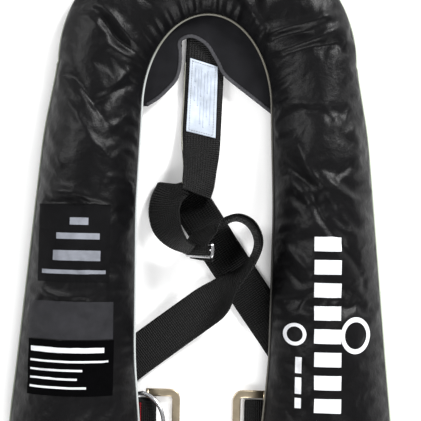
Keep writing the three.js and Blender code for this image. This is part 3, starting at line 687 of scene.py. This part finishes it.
def cover_height(p, share, open_part, run, width):
    """Crown of the folded chamber under the cover, with its folds, gathers and crumples."""
    top = LOBE_HEIGHT - (LOBE_HEIGHT - NECK_HEIGHT) * smooth((p.y - 20) / 130)
    crown = max(0.0, 1 - abs(2 * share - 1) ** 2.4) ** 0.7
    inward = min(share, 1 - share) * width
    ends = smooth((p.y - LOBE_END) / 30)
    soft = smooth(inward / 26) * ends
    seed = 3 if share < 0.5 else 40
    z = FRONT_RIM + (top - CROWN_LESS) * crown * tip_fullness(open_part) ** 0.6
    z += soft * (fold_height(p.x, p.y) + 0.4 * crumple(p.x, p.y, 3.7))
    return z + gathers(run, inward, seed) * ends


SETTLE_STEPS = 18
SETTLE_CAP = 9 * MM


def simulate(obj, seam):
    """Lets the cloth settle under a little pressure, held at the seams. No point of it moves
    further than the cap."""
    group = obj.vertex_groups.new(name="seam")
    group.add(seam, 1.0, "REPLACE")
    start = [v.co.copy() for v in obj.data.vertices]
    cloth = obj.modifiers.new("cloth", "CLOTH")
    settings = cloth.settings
    settings.quality = 5
    settings.mass = 0.15
    settings.tension_stiffness = settings.compression_stiffness = 12
    settings.shear_stiffness = 5
    settings.bending_stiffness = 0.15
    settings.use_pressure = True
    settings.uniform_pressure_force = 4
    settings.shrink_min = -0.022
    settings.vertex_group_mass = "seam"
    settings.effector_weights.gravity = 0
    for step in range(1, SETTLE_STEPS + 1):
        SCENE.frame_set(step)
    settled = obj.evaluated_get(bpy.context.evaluated_depsgraph_get()).data
    for vertex, was, now in zip(obj.data.vertices, start, [v.co.copy() for v in settled.vertices]):
        move = now - was
        if move.length > SETTLE_CAP:
            move *= SETTLE_CAP / move.length
        vertex.co = was + move
    obj.modifiers.remove(cloth)
    SCENE.frame_set(1)


def make_front_cover():
    """Outer cover. Returns a tree of its surface, which the prints are laid on."""
    rows = all_rows(EDGE_INSET)
    points = panel_points(rows, COVER_COLUMNS, cover_height)
    faces = grid_faces(len(rows), COVER_COLUMNS, flip=True)
    cover = piece("cover_front", [at(*p) for p in points], faces, COVER, "cover_fabric",
                  replaces=["front_cover"])
    count = len(points)
    seam = [i for i in range(count) if i % COVER_COLUMNS in (0, COVER_COLUMNS - 1)]
    seam += list(range(COVER_COLUMNS)) + list(range(count - COVER_COLUMNS, count))
    simulate(cover, seam)
    smoother(cover)
    apply_modifiers(cover)
    tree = BVHTree.FromPolygons([v.co for v in cover.data.vertices],
                                [p.vertices[:] for p in cover.data.polygons])
    thicken(cover, 1.2)
    apply_modifiers(cover)
    return tree


BACK_COLUMNS = 41
# Room under each lobe, for the belt and for the buckle's tab: range of the distance from the
# middle line, range of y, softness of the edge, and height of the roof.
BELT_CHANNEL = ((56, 124), (-248, -90), 3, 5.9)
TAB_ROOM = [((56, 80), (-248, -188), 2, 7.6), ((56, 72), (-248, -188), 2, 10.6)]
QUILT_PITCH = 62


def within(x, y, x_range, y_range, edge):
    """1 inside a rectangle, falling to 0 over a soft edge outside it."""
    share = 1.0
    for value, (low, high) in ((x, x_range), (y, y_range)):
        share *= smooth((value - low + edge) / edge) * smooth((high - value + edge) / edge)
    return share


def back_height(p, share, open_part, run, width):
    """Underside of the padded back: rolled edges, a belt channel in each lobe, sewn waves."""
    inward = min(share, 1 - share) * width
    full = tip_fullness(open_part) ** 0.35
    z = BACK_RIM - (2.3 * smooth(inward / 3) + 9.6 * smooth(inward / 22)) * full
    channel = within(abs(p.x), p.y, *BELT_CHANNEL[:3])
    z = max(z, BELT_CHANNEL[3] * channel)
    for *room, roof in TAB_ROOM:
        z = max(z, roof * within(abs(p.x), p.y, *room))
    quilt = abs(sin(pi * run / QUILT_PITCH))
    dimple = 1.4 * (1 - quilt ** 0.3) * smooth((inward - 12) / 16) * (1 - channel)
    ripple = 0.5 * wander(p.x * 0.05, p.y * 0.05, 7.7) * smooth(inward / 15)
    return max(z + dimple + ripple * (1 - channel), 0.02)


def make_back_cover():
    """Padded back, and the two cloth channels on it that hold the belt."""
    rows = all_rows(EDGE_INSET)
    points = panel_points(rows, BACK_COLUMNS, back_height)
    faces = grid_faces(len(rows), BACK_COLUMNS)
    back = piece("cover_back", [at(*p) for p in points], faces, PADDING, "back_padding",
                 replaces=["back_cover"])
    smoother(back)
    thicken(back, 1.6)
    apply_modifiers(back)
    for name in ("left", "right"):
        make_sleeve(name)


def make_sleeve(name):
    """Cloth channel over the belt: slightly bowed, with two rows of stitches on each side."""
    low, high = layout_box(f"belt_sleeve_{name}")

    def point_at(u, v):
        x = low.x + (high.x - low.x) * u
        y = low.y + (high.y - low.y) * v
        z = 0.9 - 0.5 * sin(pi * u) + 0.35 * wander(x * 0.06, y * 0.05, 2)
        return at(x, y, clamp(z, 0.15, 1.6))

    sleeve = grid_piece(f"sleeve_{name}", point_at, 40, 17, COVER, "cover_fabric",
                        replaces=[f"belt_sleeve_{name}"])
    thicken(sleeve, 0.8)
    smoother(sleeve)
    apply_modifiers(sleeve)
    for k, x in enumerate((low.x + 2.5, low.x + 6, high.x - 6, high.x - 2.5)):
        stitch_row(f"sleeve_stitches_{name}_{k}", [(x, low.y + 3, 0.35), (x, high.y - 3, 0.35)],
                   GREY_THREAD)


# Pockets in the chamber, for the inflator, its lever and the mouth tube: range of x and of y.
POCKETS = [((-153, -97), (-201, -21)), ((-177, -97), (-241, -163)), ((101, 135), (-133, 25))]
POCKET_FLOOR = 13.2
CHAMBER_INSET = 21
CHAMBER_COLUMNS = 29
CHAMBER_END = -226
CHAMBER_BOTTOM = 9.7


def chamber_height(p, share, open_part, run, width):
    """Top of the folded chamber: pleats along it, and pockets for the inflator and the tube."""
    inward = min(share, 1 - share) * width
    z = 11 + 17.5 * smooth(inward / 9) - 1.6 * abs(sin(pi * 4 * share)) ** 3
    z += 0.8 * wander(p.x * 0.08, p.y * 0.05, 6)
    for x_range, y_range in POCKETS:
        z -= (z - POCKET_FLOOR) * within(p.x, p.y, x_range, y_range, 4)
    return z


def make_chamber():
    """Folded buoyancy chamber, as one closed shell."""
    rows = [row for row in all_rows(CHAMBER_INSET) if row[1].y > CHAMBER_END]
    top = panel_points(rows, CHAMBER_COLUMNS, chamber_height)
    low = [Vector((p.x, p.y, CHAMBER_BOTTOM)) for p in top]
    rings = []
    for r in range(len(rows)):
        start = r * CHAMBER_COLUMNS
        rings += top[start:start + CHAMBER_COLUMNS] + low[start:start + CHAMBER_COLUMNS][::-1]
    faces = hose_faces(len(rows), 2 * CHAMBER_COLUMNS)
    chamber = piece("chamber_folds", [at(*p) for p in rings], faces, CHAMBER_CLOTH,
                    "chamber_fabric", replaces=["chamber"])


def around_cord(line):
    """The two stretches of a seam line, one on each side of where the firing cord comes out."""
    blocked = [k for k, p in enumerate(line)
               if p.y < LOBE_END + 20 and abs(p.x - FIRING_CORD[0][0]) < CORD_CLEARANCE]
    return line[:blocked[0]], line[blocked[-1] + 1:]


def make_piping():
    """Cords in the seams. They meet at the lobes' tips, and the outer one lets the cord out."""
    rows = right_rows(0, 72, 120, 40)
    tip = rows[-1][0].lerp(rows[-1][1], 0.5)
    lines = []
    for which in (0, 1):
        half = [Vector((*row[which], SEAM_Z)) for row in rows] + [Vector((*tip, SEAM_Z))]
        line = [Vector((-p.x, p.y, p.z)) for p in reversed(half[1:])] + half
        for k, p in enumerate(line):
            p.z += 0.35 * wander(k * 0.35, which * 5, 1)
        lines.append(line)
    tube("piping_cord_inner", lines[0], PIPING_R, PIPING_INNER, "piping", replaces=["piping_inner"])
    tip_end, rest = around_cord(lines[1])
    tube("piping_cord_outer", rest, PIPING_R, PIPING_OUTER, "piping", replaces=["piping_outer"])
    tube("piping_cord_tip", tip_end, PIPING_R, PIPING_OUTER, "piping")


# ---------------- yoke, strap, label, belts

YOKE_ARCH = [(-60, 95), (-49, 102), (-39.5, 111), (-31, 121), (-27, 134), (-26.5, 150),
             (-27.5, 160), (-18, 165), (-8, 161.5), (-1, 156), (4, 148.5), (10, 138.5),
             (17, 126.5), (38, 110), (66, 89)]


def yoke_z(x, y):
    return 9.6 + 0.7 * wander(x * 0.045, y * 0.045, 4.2)


def make_yoke():
    """Cloth behind the neck, from the neck seam to its bound, arched edge."""
    steps, columns = 90, 15
    arch = spline([(x, y, 0) for x, y in YOKE_ARCH], steps)
    rx, ry, cy = NECK_INNER
    start = atan2((arch[0].y - cy) / ry, arch[0].x / rx)
    end = atan2((arch[-1].y - cy) / ry, arch[-1].x / rx)
    verts = []
    for k, p in enumerate(arch):
        turn = start + (end - start) * k / steps
        rim = Vector(((rx + 5) * cos(turn), cy + (ry + 5) * sin(turn), 0))
        for c in range(columns):
            q = p.lerp(rim, c / (columns - 1))
            verts.append(at(q.x, q.y, yoke_z(q.x, q.y)))
    yoke = piece("yoke_cloth", verts, grid_faces(steps + 1, columns, flip=True), YOKE,
                 "yoke_fabric", replaces=["neck_yoke"])
    thicken(yoke, 1.1, offset=0)
    apply_modifiers(yoke)
    hem = [Vector((p.x, p.y, yoke_z(p.x, p.y) + 0.9)) for p in arch]
    inwards = [(hem[min(k + 1, steps)] - hem[max(k - 1, 0)]).normalized().cross(UP)
               for k in range(steps + 1)]
    path = [(p - n * 1.4, n) for p, n in zip(hem, inwards)]
    ribbon("yoke_hem", path[::3], 3.6, 0.9, HEM, "binding", steps=140, replaces=["yoke_binding"])
    stitch_row("yoke_stitches", [p - n * 2.6 + Vector((0, 0, 0.45)) for p, n in zip(hem, inwards)],
               THREAD)


BACK_STRAP_PATH = [
    ((-2, 172, 6.2), (1, 0, 0)), ((-3, 140, 6.2), (1, 0, 0)), ((-4, 100, 6.2), (1, 0, 0)),
    ((-5, 66, 7), (1, 0, -0.04)), ((-5.5, 36, 14.5), (0.83, 0, -0.5)),
    ((-7, 18, 22), (0.78, 0, -0.6)), ((-8.5, 8, 25), (0.74, 0, -0.66)),
]
BELT_RIGHT_PATH = [
    ((100, -168, 3.1), (0.82, 0.57, 0)), ((76, -133, 3.2), (0.82, 0.57, 0)),
    ((52, -99, 3.2), (0.82, 0.57, 0)), ((20, -53, 3.6), (0.82, 0.57, -0.02)),
    ((5, -30, 4.6), (0.82, 0.57, 0)), ((-7, -12, 5.6), (0.82, 0.57, 0)),
    ((-18, 4, 7), (0.86, 0.5, 0)), ((-25, 13, 8.5), (0.95, 0.3, 0.05)),
    ((-29, 17, 12), (0.98, 0.1, 0.15)), ((-32, 13, 16), (0.93, 0, 0.35)),
    ((-38, 3, 19.5), (0.84, 0, 0.54)), ((-40.5, -9, 22), (0.8, 0, 0.6)),
    ((-38.5, -21, 24.5), (0.78, 0, 0.62)), ((-33, -32, 26.5), (0.72, 0, 0.69)),
    ((-24, -41.5, 27.5), (0.65, 0, 0.76)), ((-12, -49, 27.5), (0.59, 0, 0.81)),
]
BELT_LEFT_PATH = [
    ((-92, -178, 3.1), (0.61, -0.79, 0)), ((-66, -157.5, 4.2), (0.61, -0.79, 0)),
    ((-30, -130, 7.5), (0.6, -0.79, 0)), ((-2, -109, 9), (0.6, -0.79, 0.05)),
    ((16, -95, 16), (0.5, -0.65, 0.5)), ((33, -77, 28), (0.2, -0.3, 0.93)),
    ((49, -57, 31), (0.12, -0.1, 0.98)), ((55, -38, 31), (0.14, 0, 0.98)),
    ((48, -21, 31), (0.1, 0.1, 0.98)), ((34, -14, 31), (0, 0.14, 0.98)),
    ((19, -19, 31), (-0.1, 0.1, 0.98)), ((8, -28, 31), (0.3, -0.05, 0.95)),
    ((-3, -37, 32), (0.56, -0.05, 0.83)), ((-6.6, -44, 32), (0.59, 0, 0.81)),
    ((-6, -50, 31.2), (0.59, 0, 0.81)), ((-2.6, -55, 28.6), (0.59, 0, 0.81)),
    ((-2.4, -58, 28.2), (0.59, 0, 0.81)),
]
STRAP_WIDTH = 39
BELT_WIDTH = 40
WEBBING_THICK = 1.8
TAB_WIDTH = 38
LEFT_TAB_PROFILE = [(118, 4.6), (100, 4.6), (86, 4.6), (78, 4.8), (72, 6.6), (66, 8.7), (60, 8.4),
                    (54, 7.3), (49, 6.9), (45.5, 4.2), (49, 1.6), (54, 1.4), (66, 1.7), (84, 2.1),
                    (100, 2.1), (118, 2.1)]
RIGHT_TAB_PROFILE = [(118, 4.6), (100, 4.6), (84, 4.6), (74, 5), (68, 6.7), (62, 7.2), (50, 6.9),
                     (44.5, 4.2), (50, 1.6), (62, 1.4), (72, 1.9), (84, 2.1), (100, 2.1),
                     (118, 2.1)]


def make_webbing():
    ribbon("strap_back", BACK_STRAP_PATH, STRAP_WIDTH, WEBBING_THICK, STRAP, "webbing",
           replaces=["back_strap"])
    ribbon("belt_web_right", BELT_RIGHT_PATH, BELT_WIDTH, WEBBING_THICK, WEBBING, "webbing",
           steps=240, replaces=["belt_right"])
    ribbon("belt_web_left", BELT_LEFT_PATH, BELT_WIDTH, WEBBING_THICK, WEBBING, "webbing",
           steps=260, replaces=["belt_left"])
    inner = [(Vector(p) + Vector((-0.8, -0.8, 0)) * 2.2 - Vector(w) * 0.8, w)
             for p, w in BELT_LEFT_PATH[5:11]]
    ribbon("belt_web_lining", inner, BELT_WIDTH - 1, WEBBING_THICK, WEBBING, "webbing", steps=120)
    edge = [Vector(p) + Vector(w) * (-STRAP_WIDTH / 2 - 0.2) for p, w in BACK_STRAP_PATH[1:-1]]
    tube("strap_edge", spline(edge, 60), 0.75, PIPING_INNER, "piping")
    for name, side, profile in (("left", -1, LEFT_TAB_PROFILE), ("right", 1, RIGHT_TAB_PROFILE)):
        path = [((side * x, RING_Y, z), (0, 1, 0)) for x, z in profile]
        ribbon(f"tab_web_{name}", path, TAB_WIDTH, 1.5, WEBBING, "webbing", steps=160, crown=0.1,
               replaces=[f"buckle_tab_{name}"])


LABEL_CORNERS = ((-17.8, 144.6), (10.3, 136.4), (9.3, 64.3), (-20.4, 71.0))
LABEL_Z = 7.75


def strap_z(y):
    """Height of the label on the strap, which starts to rise just above its lower end."""
    return LABEL_Z + 1.1 * smooth((86 - y) / 30)


def label_point(u, v, lift=0.0):
    """u runs from the label's left edge to its right edge and v from its top to its bottom."""
    a, b, c, d = (Vector(p) for p in LABEL_CORNERS)
    p = a.lerp(b, u).lerp(d.lerp(c, u), v)
    ripple = 0.35 * sin(7 * v + 2 * u) * (0.4 + 0.6 * abs(2 * u - 1))
    return Vector((p.x, p.y, strap_z(p.y) + ripple + lift))


def label_patch(name, u0, u1, v0, v1, lift, material, thick, replaces=()):
    """Part of the label from u0, v0 to u1, v1, standing lift millimetres off it."""
    def point_at(u, v):
        return at(*label_point(u0 + (u1 - u0) * u, v0 + (v1 - v0) * v, lift))

    columns = max(3, int(30 * (u1 - u0)))
    rows = max(3, int(60 * (v1 - v0)))
    patch = grid_piece(name, point_at, rows, columns, material, "label", replaces=replaces)
    thicken(patch, thick)
    apply_modifiers(patch)


# Bars on the label: u, and v from and to.
LABEL_PRINT = [(0.20, 0.10, 0.30), (0.20, 0.36, 0.56), (0.32, 0.12, 0.62), (0.42, 0.10, 0.48),
               (0.42, 0.54, 0.86), (0.54, 0.14, 0.90), (0.64, 0.10, 0.42), (0.64, 0.50, 0.74),
               (0.76, 0.16, 0.84)]


def make_label():
    """Woven care label: sewn border, and plain grey bars instead of print."""
    label_patch("label_cloth", 0, 1, 0, 1, 0, LABEL, 0.35, replaces=["care_label"])
    for k, (u, v0, v1) in enumerate(LABEL_PRINT):
        label_patch(f"label_bar_{k}", u, u + 0.045, v0, v1, 0.08, FAINT_PRINT, 0.06)
    border = [label_point(u, v, 0.15) for u, v in
              [(0.09, k / 30 * 0.94 + 0.03) for k in range(31)]
              + [(0.09 + 0.82 * k / 12, 0.97) for k in range(1, 13)]
              + [(0.91, 0.97 - k / 30 * 0.94) for k in range(1, 31)]
              + [(0.91 - 0.82 * k / 12, 0.03) for k in range(1, 13)]]
    stitch_row("label_stitches", border, GREY_THREAD, length=1.8, gap=0.7, radius=0.28,
               slot="label")


# ---------------- steel

BAR_WIDE = 8
RING_CORNER = 7
ROD_R = 1.8
# How far the flat bar's ends stop past the rod that joins them.
ROD_GAP = 1.5
RING_Z = (2.7, 5.7)
RING_Y_RANGE = (-246, -189)


def rounded_corners(points, radius, arc=6):
    """Open polyline of 2-D points with each inner corner turned into an arc."""
    out = [Vector(points[0])]
    for a, b, c in zip(points, points[1:], points[2:]):
        a, b, c = Vector(a), Vector(b), Vector(c)
        start, end = b + (a - b).normalized() * radius, b + (c - b).normalized() * radius
        for k in range(arc + 1):
            t = k / arc
            out.append(start * (1 - t) ** 2 + b * 2 * t * (1 - t) + end * t * t)
    out.append(Vector(points[-1]))
    return out


def flat_bar(name, line, width, low, high, material, slot, **rest):
    """Flat bar of rounded section swept along a line in the XY plane."""
    middle, half = (low + high) / 2, (high - low) / 2
    corner = half * 0.9
    section = []
    for sx, sz, first in ((1, 1, 0), (-1, 1, 90), (-1, -1, 180), (1, -1, 270)):
        for k in range(5):
            turn = radians(first + 22.5 * k)
            section.append((sx * (width / 2 - corner) + corner * cos(turn),
                            sz * (half - corner) + corner * sin(turn)))
    verts = []
    for p, _, side, _ in frames_along([Vector((p.x, p.y, middle)) for p in line]):
        for u, v in section:
            verts.append(at(*(p + side * u + Vector((0, 0, v)))))
    piece(name, verts, hose_faces(len(line), len(section)), material, slot, **rest)


def make_buckle(name, tab_x, free_x, body):
    """Flat steel ring, open on the tab's side, where a round bar closes it."""
    toward = 1 if free_x > tab_x else -1
    edge = BAR_WIDE / 2
    low, high = RING_Y_RANGE
    start, end = tab_x - toward * ROD_GAP, free_x - toward * edge
    corners = [(start, high - edge), (end, high - edge), (end, low + edge), (start, low + edge)]
    line = rounded_corners(corners, RING_CORNER)
    flat_bar(f"buckle_frame_{name}", line, BAR_WIDE, *RING_Z, STEEL_PAINTED_WARM_REFLECTION, "buckle_steel",
             body=body, replaces=[f"buckle_ring_{name}"])
    middle = sum(RING_Z) / 2
    rod = [Vector((tab_x, low + 1 + (high - low - 2) * k / 8, middle)) for k in range(9)]
    tube(f"buckle_rod_{name}", rod, ROD_R, STEEL_PAINTED_WARM_REFLECTION, "buckle_steel", sides=20, body=body)


def make_dee():
    """Round-wire D of the harness, tilted up over the left buckle ring."""
    x, y, z, radius, tilt = -66, -222.5, 5.2, 30, radians(20.6)
    flat = [(0, v) for v in range(-22, 23, 4)] + [(0.4, 25.5), (2.2, 28.2)]
    flat += [(1 + radius * cos(radians(t)), radius * sin(radians(t)))
             for t in range(76, -77, -4)] + [(2.2, -28.2), (0.4, -25.5)]
    path = [Vector((x + u * cos(tilt), y + v, z + u * sin(tilt))) for u, v in flat]
    tube("harness_dee", path, 2.2, BRIGHT_STEEL, "bright_steel", sides=20, closed=True,
         body="dee", replaces=["harness_ring"])


def make_slider():
    """Steel tri-glide seen almost on its edge: a frame with three bars across."""
    centre, tilt = Vector((-4.6, -47.6, 30)), radians(54)
    along = Vector((cos(tilt), 0, sin(tilt)))
    half_long, half_wide, bar = 24, 8, 1.6
    across = Vector((0, 1, 0))
    corners = [(-half_long + 4, -half_wide + bar), (half_long - bar, -half_wide + bar),
               (half_long - bar, half_wide - bar), (-half_long + bar, half_wide - bar),
               (-half_long + bar, -half_wide + bar), (-half_long + 4, -half_wide + bar)]
    loop = rounded_corners(corners, 3)[1:-1]
    frame_line = [centre + along * p.x + across * p.y for p in loop]
    tube("slider_frame", frame_line, bar, BRIGHT_STEEL, "bright_steel", sides=16, closed=True,
         body="slider", replaces=["belt_slider"])
    reach = half_long - bar
    middle = [centre + along * (reach * (k / 4 - 1)) for k in range(9)]
    tube("slider_bar", middle, bar, BRIGHT_STEEL, "bright_steel", sides=16, body="slider")


def make_handle():
    """Firing handle: a moulded grip with rounded ends, a waist and two raised ribs."""
    low, high = layout_box("pull_handle")
    middle, half = (low + high) / 2, (high - low) / 2
    outline = []
    for k in range(48):
        turn = 2 * pi * k / 48
        c, d = cos(turn), sin(turn)
        waist = 1 - 0.12 * exp(-(c / 0.35) ** 2)
        x = half.x * copysign(abs(c) ** 0.45, c)
        y = half.y * copysign(abs(d) ** 0.45, d) * waist
        outline.append((middle.x + x, middle.y + y))
    slab("handle_grip", outline, low.z, high.z, 3, RED_PLASTIC, "red_plastic", body="pull",
         replaces=["pull_handle"])
    for k, dx in enumerate((-12, 12)):
        rib = [Vector((middle.x + dx, middle.y + y, high.z)) for y in range(-6, 7, 2)]
        tube(f"handle_rib_{k}", rib, 1.1, RED_PLASTIC, "red_plastic", body="pull")


def make_cord(name, route, radius, cloth, body, node):
    """Braided cord along its route."""
    path = spline(route, 40)
    cord = tube(name, path, radius, cloth, "red_cord", sides=10, body=body, replaces=[node])


def make_cords():
    make_cord("firing_cord", FIRING_CORD, 1.2, RED_BRAID, "pull", "pull_cord")
    make_cord("whistle_cord", WHISTLE_CORD, 1.0, GREY_BRAID, "jacket",
              "whistle_lanyard")


def make_red_tack():
    """Red bar-tack across the left tab, beside the ring."""
    for k, x in enumerate((-62.4, -60.6)):
        line = [(x, RING_Y - 15 + 30 * i / 20, 9.35) for i in range(21)]
        stitch_row(f"red_tack_{k}", line, RED_THREAD, length=1.5, gap=0.3, radius=0.5,
                   slot="red_cord")


# ---------------- prints


# Height above the cover from which the prints are dropped onto it.
PRINT_RAY_Z = 120


def print_patch(name, tree, outline_at, rows, columns, material, lift=0.45):
    """Thin print laid on the cover. outline_at(u, v) is its place in the XY plane."""
    def point_at(u, v):
        hit, normal, _, _ = tree.ray_cast(at(*outline_at(u, v), PRINT_RAY_Z), Vector((0, 0, -1)))
        return hit + normal * copysign(lift * MM, normal.z)

    grid_piece(name, point_at, rows, columns, material, "cover_fabric")


def rect(x0, x1, y0, y1):
    """Place of a rectangle from its top left to its bottom right."""
    def place(u, v):
        return x0 + (x1 - x0) * u, y1 + (y0 - y1) * v
    return place


def ring_place(cx, cy, outer, inner, stretch=1.0):
    """Place of a ring of two radii, whose height is stretched."""
    def place(u, v):
        r = outer + (inner - outer) * v
        turn = -2 * pi * u
        return cx + r * cos(turn), cy + r * sin(turn) * stretch
    return place


# Plain prints on the cover: x from and to, y from and to.
GREY_BARS = [(-131, -113, -25, -18), (-144, -102, -39, -33), (-147, -101, -60, -50),
             (-158, -96, -73, -69)]
WHITE_BARS = [(-168, -96, -150, -145), (-168, -92, -159.5, -157.5), (-168, -116, -168, -166),
              (-168, -121, -176.5, -174.5), (-168, -112, -185, -183)]
SMALL_BARS = [(92, 98, -166, -150), (92, 98, -186, -170), (92, 98, -200, -190)]
STRIPES = [(108 + 0.35 * k, 134 + 0.35 * k, -46 - 22.5 * k, -32 - 22.5 * k) for k in range(9)]


def print_bars(name, tree, bars, rows, columns, material, lift):
    for k, bar in enumerate(bars):
        print_patch(f"print_{name}_{k}", tree, rect(*bar), rows, columns, material, lift)


def make_prints(tree):
    """Patches, bars, a ladder of pale blocks and two rings, in place of the printed matter."""
    print_patch("patch_square", tree, rect(-163, -92, -81, -5), 70, 66, SQUARE_PATCH)
    print_patch("patch_grey", tree, rect(-171.5, -88, -137, -100), 40, 76, PATCH_GREY)
    print_patch("patch_black", tree, rect(-171, -87, -192, -138), 54, 76, DARK_PATCH, 0.6)
    print_bars("grey", tree, GREY_BARS, 8, 44, GREY_PRINT, 0.8)
    print_bars("white", tree, WHITE_BARS, 8, 64, PALE_PRINT, 0.95)
    print_bars("stripe", tree, STRIPES, 22, 36, PALE_PRINT, 0.7)
    print_patch("print_ring_small", tree, ring_place(91, -128, 11, 7.5), 8, 48, PALE_PRINT)
    print_patch("print_ring_large", tree, ring_place(150, -128, 15, 11, 1.2), 8, 56, PALE_PRINT)
    print_bars("small", tree, SMALL_BARS, 20, 8, PALE_PRINT, 0.45)


# ---------------- CAD pieces that stay

KEPT_FINISHES = {
    "reflective_tape_left": PALE_PRINT, "reflective_tape_right": PALE_PRINT,
    "lifting_becket": WEBBING, "oral_tube": plastic("tube_rubber", (0.02, 0.02, 0.022), 0.55),
    "firing_pin": BRIGHT_STEEL, "lever_pin": BRIGHT_STEEL, "inflator_nut": BRIGHT_STEEL,
    "gas_cylinder": metal("cylinder_paint", (0.5, 0.51, 0.53), 0.3),
    "indicator_clip": plastic("green_plastic", (0.02, 0.32, 0.06)),
    "whistle": plastic("orange_plastic", (0.8, 0.2, 0.01), 0.35),
}
BLACK_PLASTIC = plastic("black_plastic", (0.012, 0.012, 0.013), 0.4)
HOOK_LOOP = cloth_material("hook_loop", (0.01, 0.01, 0.011), 500, 0.95, 0.8)


def finish_kept_nodes():
    """Materials for the CAD nodes that the cover hides, which keep their shape."""
    for name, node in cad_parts.items():
        finish = KEPT_FINISHES.get(name, HOOK_LOOP if "strip" in name else BLACK_PLASTIC)
        for slot in node.material_slots:
            slot.material = finish


# ---------------- studio

# Camera straight above the jacket: width it sees, height over the lobes' middle, place in the
# layout, and a small turn of the view.
VIEW_SPAN = 0.421
CAMERA_HEIGHT = 1.5
LOBE_MIDDLE = 0.018
CAMERA_AT = (5.75, -8.5)
ROLL = radians(1.16)
SENSOR = 36
WORLD_STRENGTH = 0.4
LIGHT_TARGET = Vector((0, 0.3, 0))
# Name, place, size and watts. They stand to the sides, so that level cloth reflects little.
LIGHTS = [
    ("key", (1.5, 1.9, 1.5), 0.7, 122),
    ("fill", (-1.9, 0.9, 1.5), 1.0, 38),
    ("low", (0.4, -2.0, 1.4), 1.2, 52),
]
FLOOR_HALF = 6.0


def make_camera():
    data = bpy.data.cameras.new("camera")
    data.sensor_width = SENSOR
    data.lens = SENSOR * CAMERA_HEIGHT / VIEW_SPAN
    data.clip_end = 20
    camera = bpy.data.objects.new("camera", data)
    camera.location = at(*CAMERA_AT, 0) + Vector((0, 0, CAMERA_HEIGHT + LOBE_MIDDLE))
    camera.rotation_euler = (0, 0, ROLL)
    show(camera)
    SCENE.camera = camera


def area_light(name, place, size, power):
    data = bpy.data.lights.new(name, "AREA")
    data.shape = "RECTANGLE"
    data.size = data.size_y = size
    data.energy = power
    light = bpy.data.objects.new(name, data)
    light.location = place
    light.rotation_euler = (LIGHT_TARGET - Vector(place)).to_track_quat("-Z", "Y").to_euler()
    show(light)


def make_studio():
    """White floor just below the jacket, a pale world and three lights."""
    n = Nodes("studio_floor")
    n.colour(n.noise(n.coords(), 4), [(0.3, grey(0.9)), (0.7, grey(0.92))])
    n.set(Roughness=0.9, Specular_IOR_Level=0.1, Emission_Color=(1, 1, 1, 1), Emission_Strength=0.12)
    mesh = bpy.data.meshes.new("floor")
    corners = [(-1, -1), (1, -1), (1, 1), (-1, 1)]
    mesh.from_pydata([(x * FLOOR_HALF, y * FLOOR_HALF, 0) for x, y in corners], [], [(0, 1, 2, 3)])
    mesh.materials.append(n.material)
    floor = bpy.data.objects.new("floor", mesh)
    floor.location.z = -0.0006
    show(floor)
    world = bpy.data.worlds.new("studio")
    world.use_nodes = True
    background = world.node_tree.nodes["Background"]
    background.inputs["Color"].default_value = (1, 1, 1, 1)
    background.inputs["Strength"].default_value = WORLD_STRENGTH
    SCENE.world = world
    SCENE.view_settings.view_transform = "Standard"
    for light in LIGHTS:
        area_light(*light)


make_camera()
make_studio()
finish_kept_nodes()
cover_tree = make_front_cover()
make_back_cover()
make_chamber()
make_piping()
make_webbing()
make_yoke()
make_label()
make_buckle("left", -54, -21, "left_ring")
make_buckle("right", 64, 32, "right_ring")
make_dee()
make_slider()
make_handle()
make_cords()
make_red_tack()
make_prints(cover_tree)
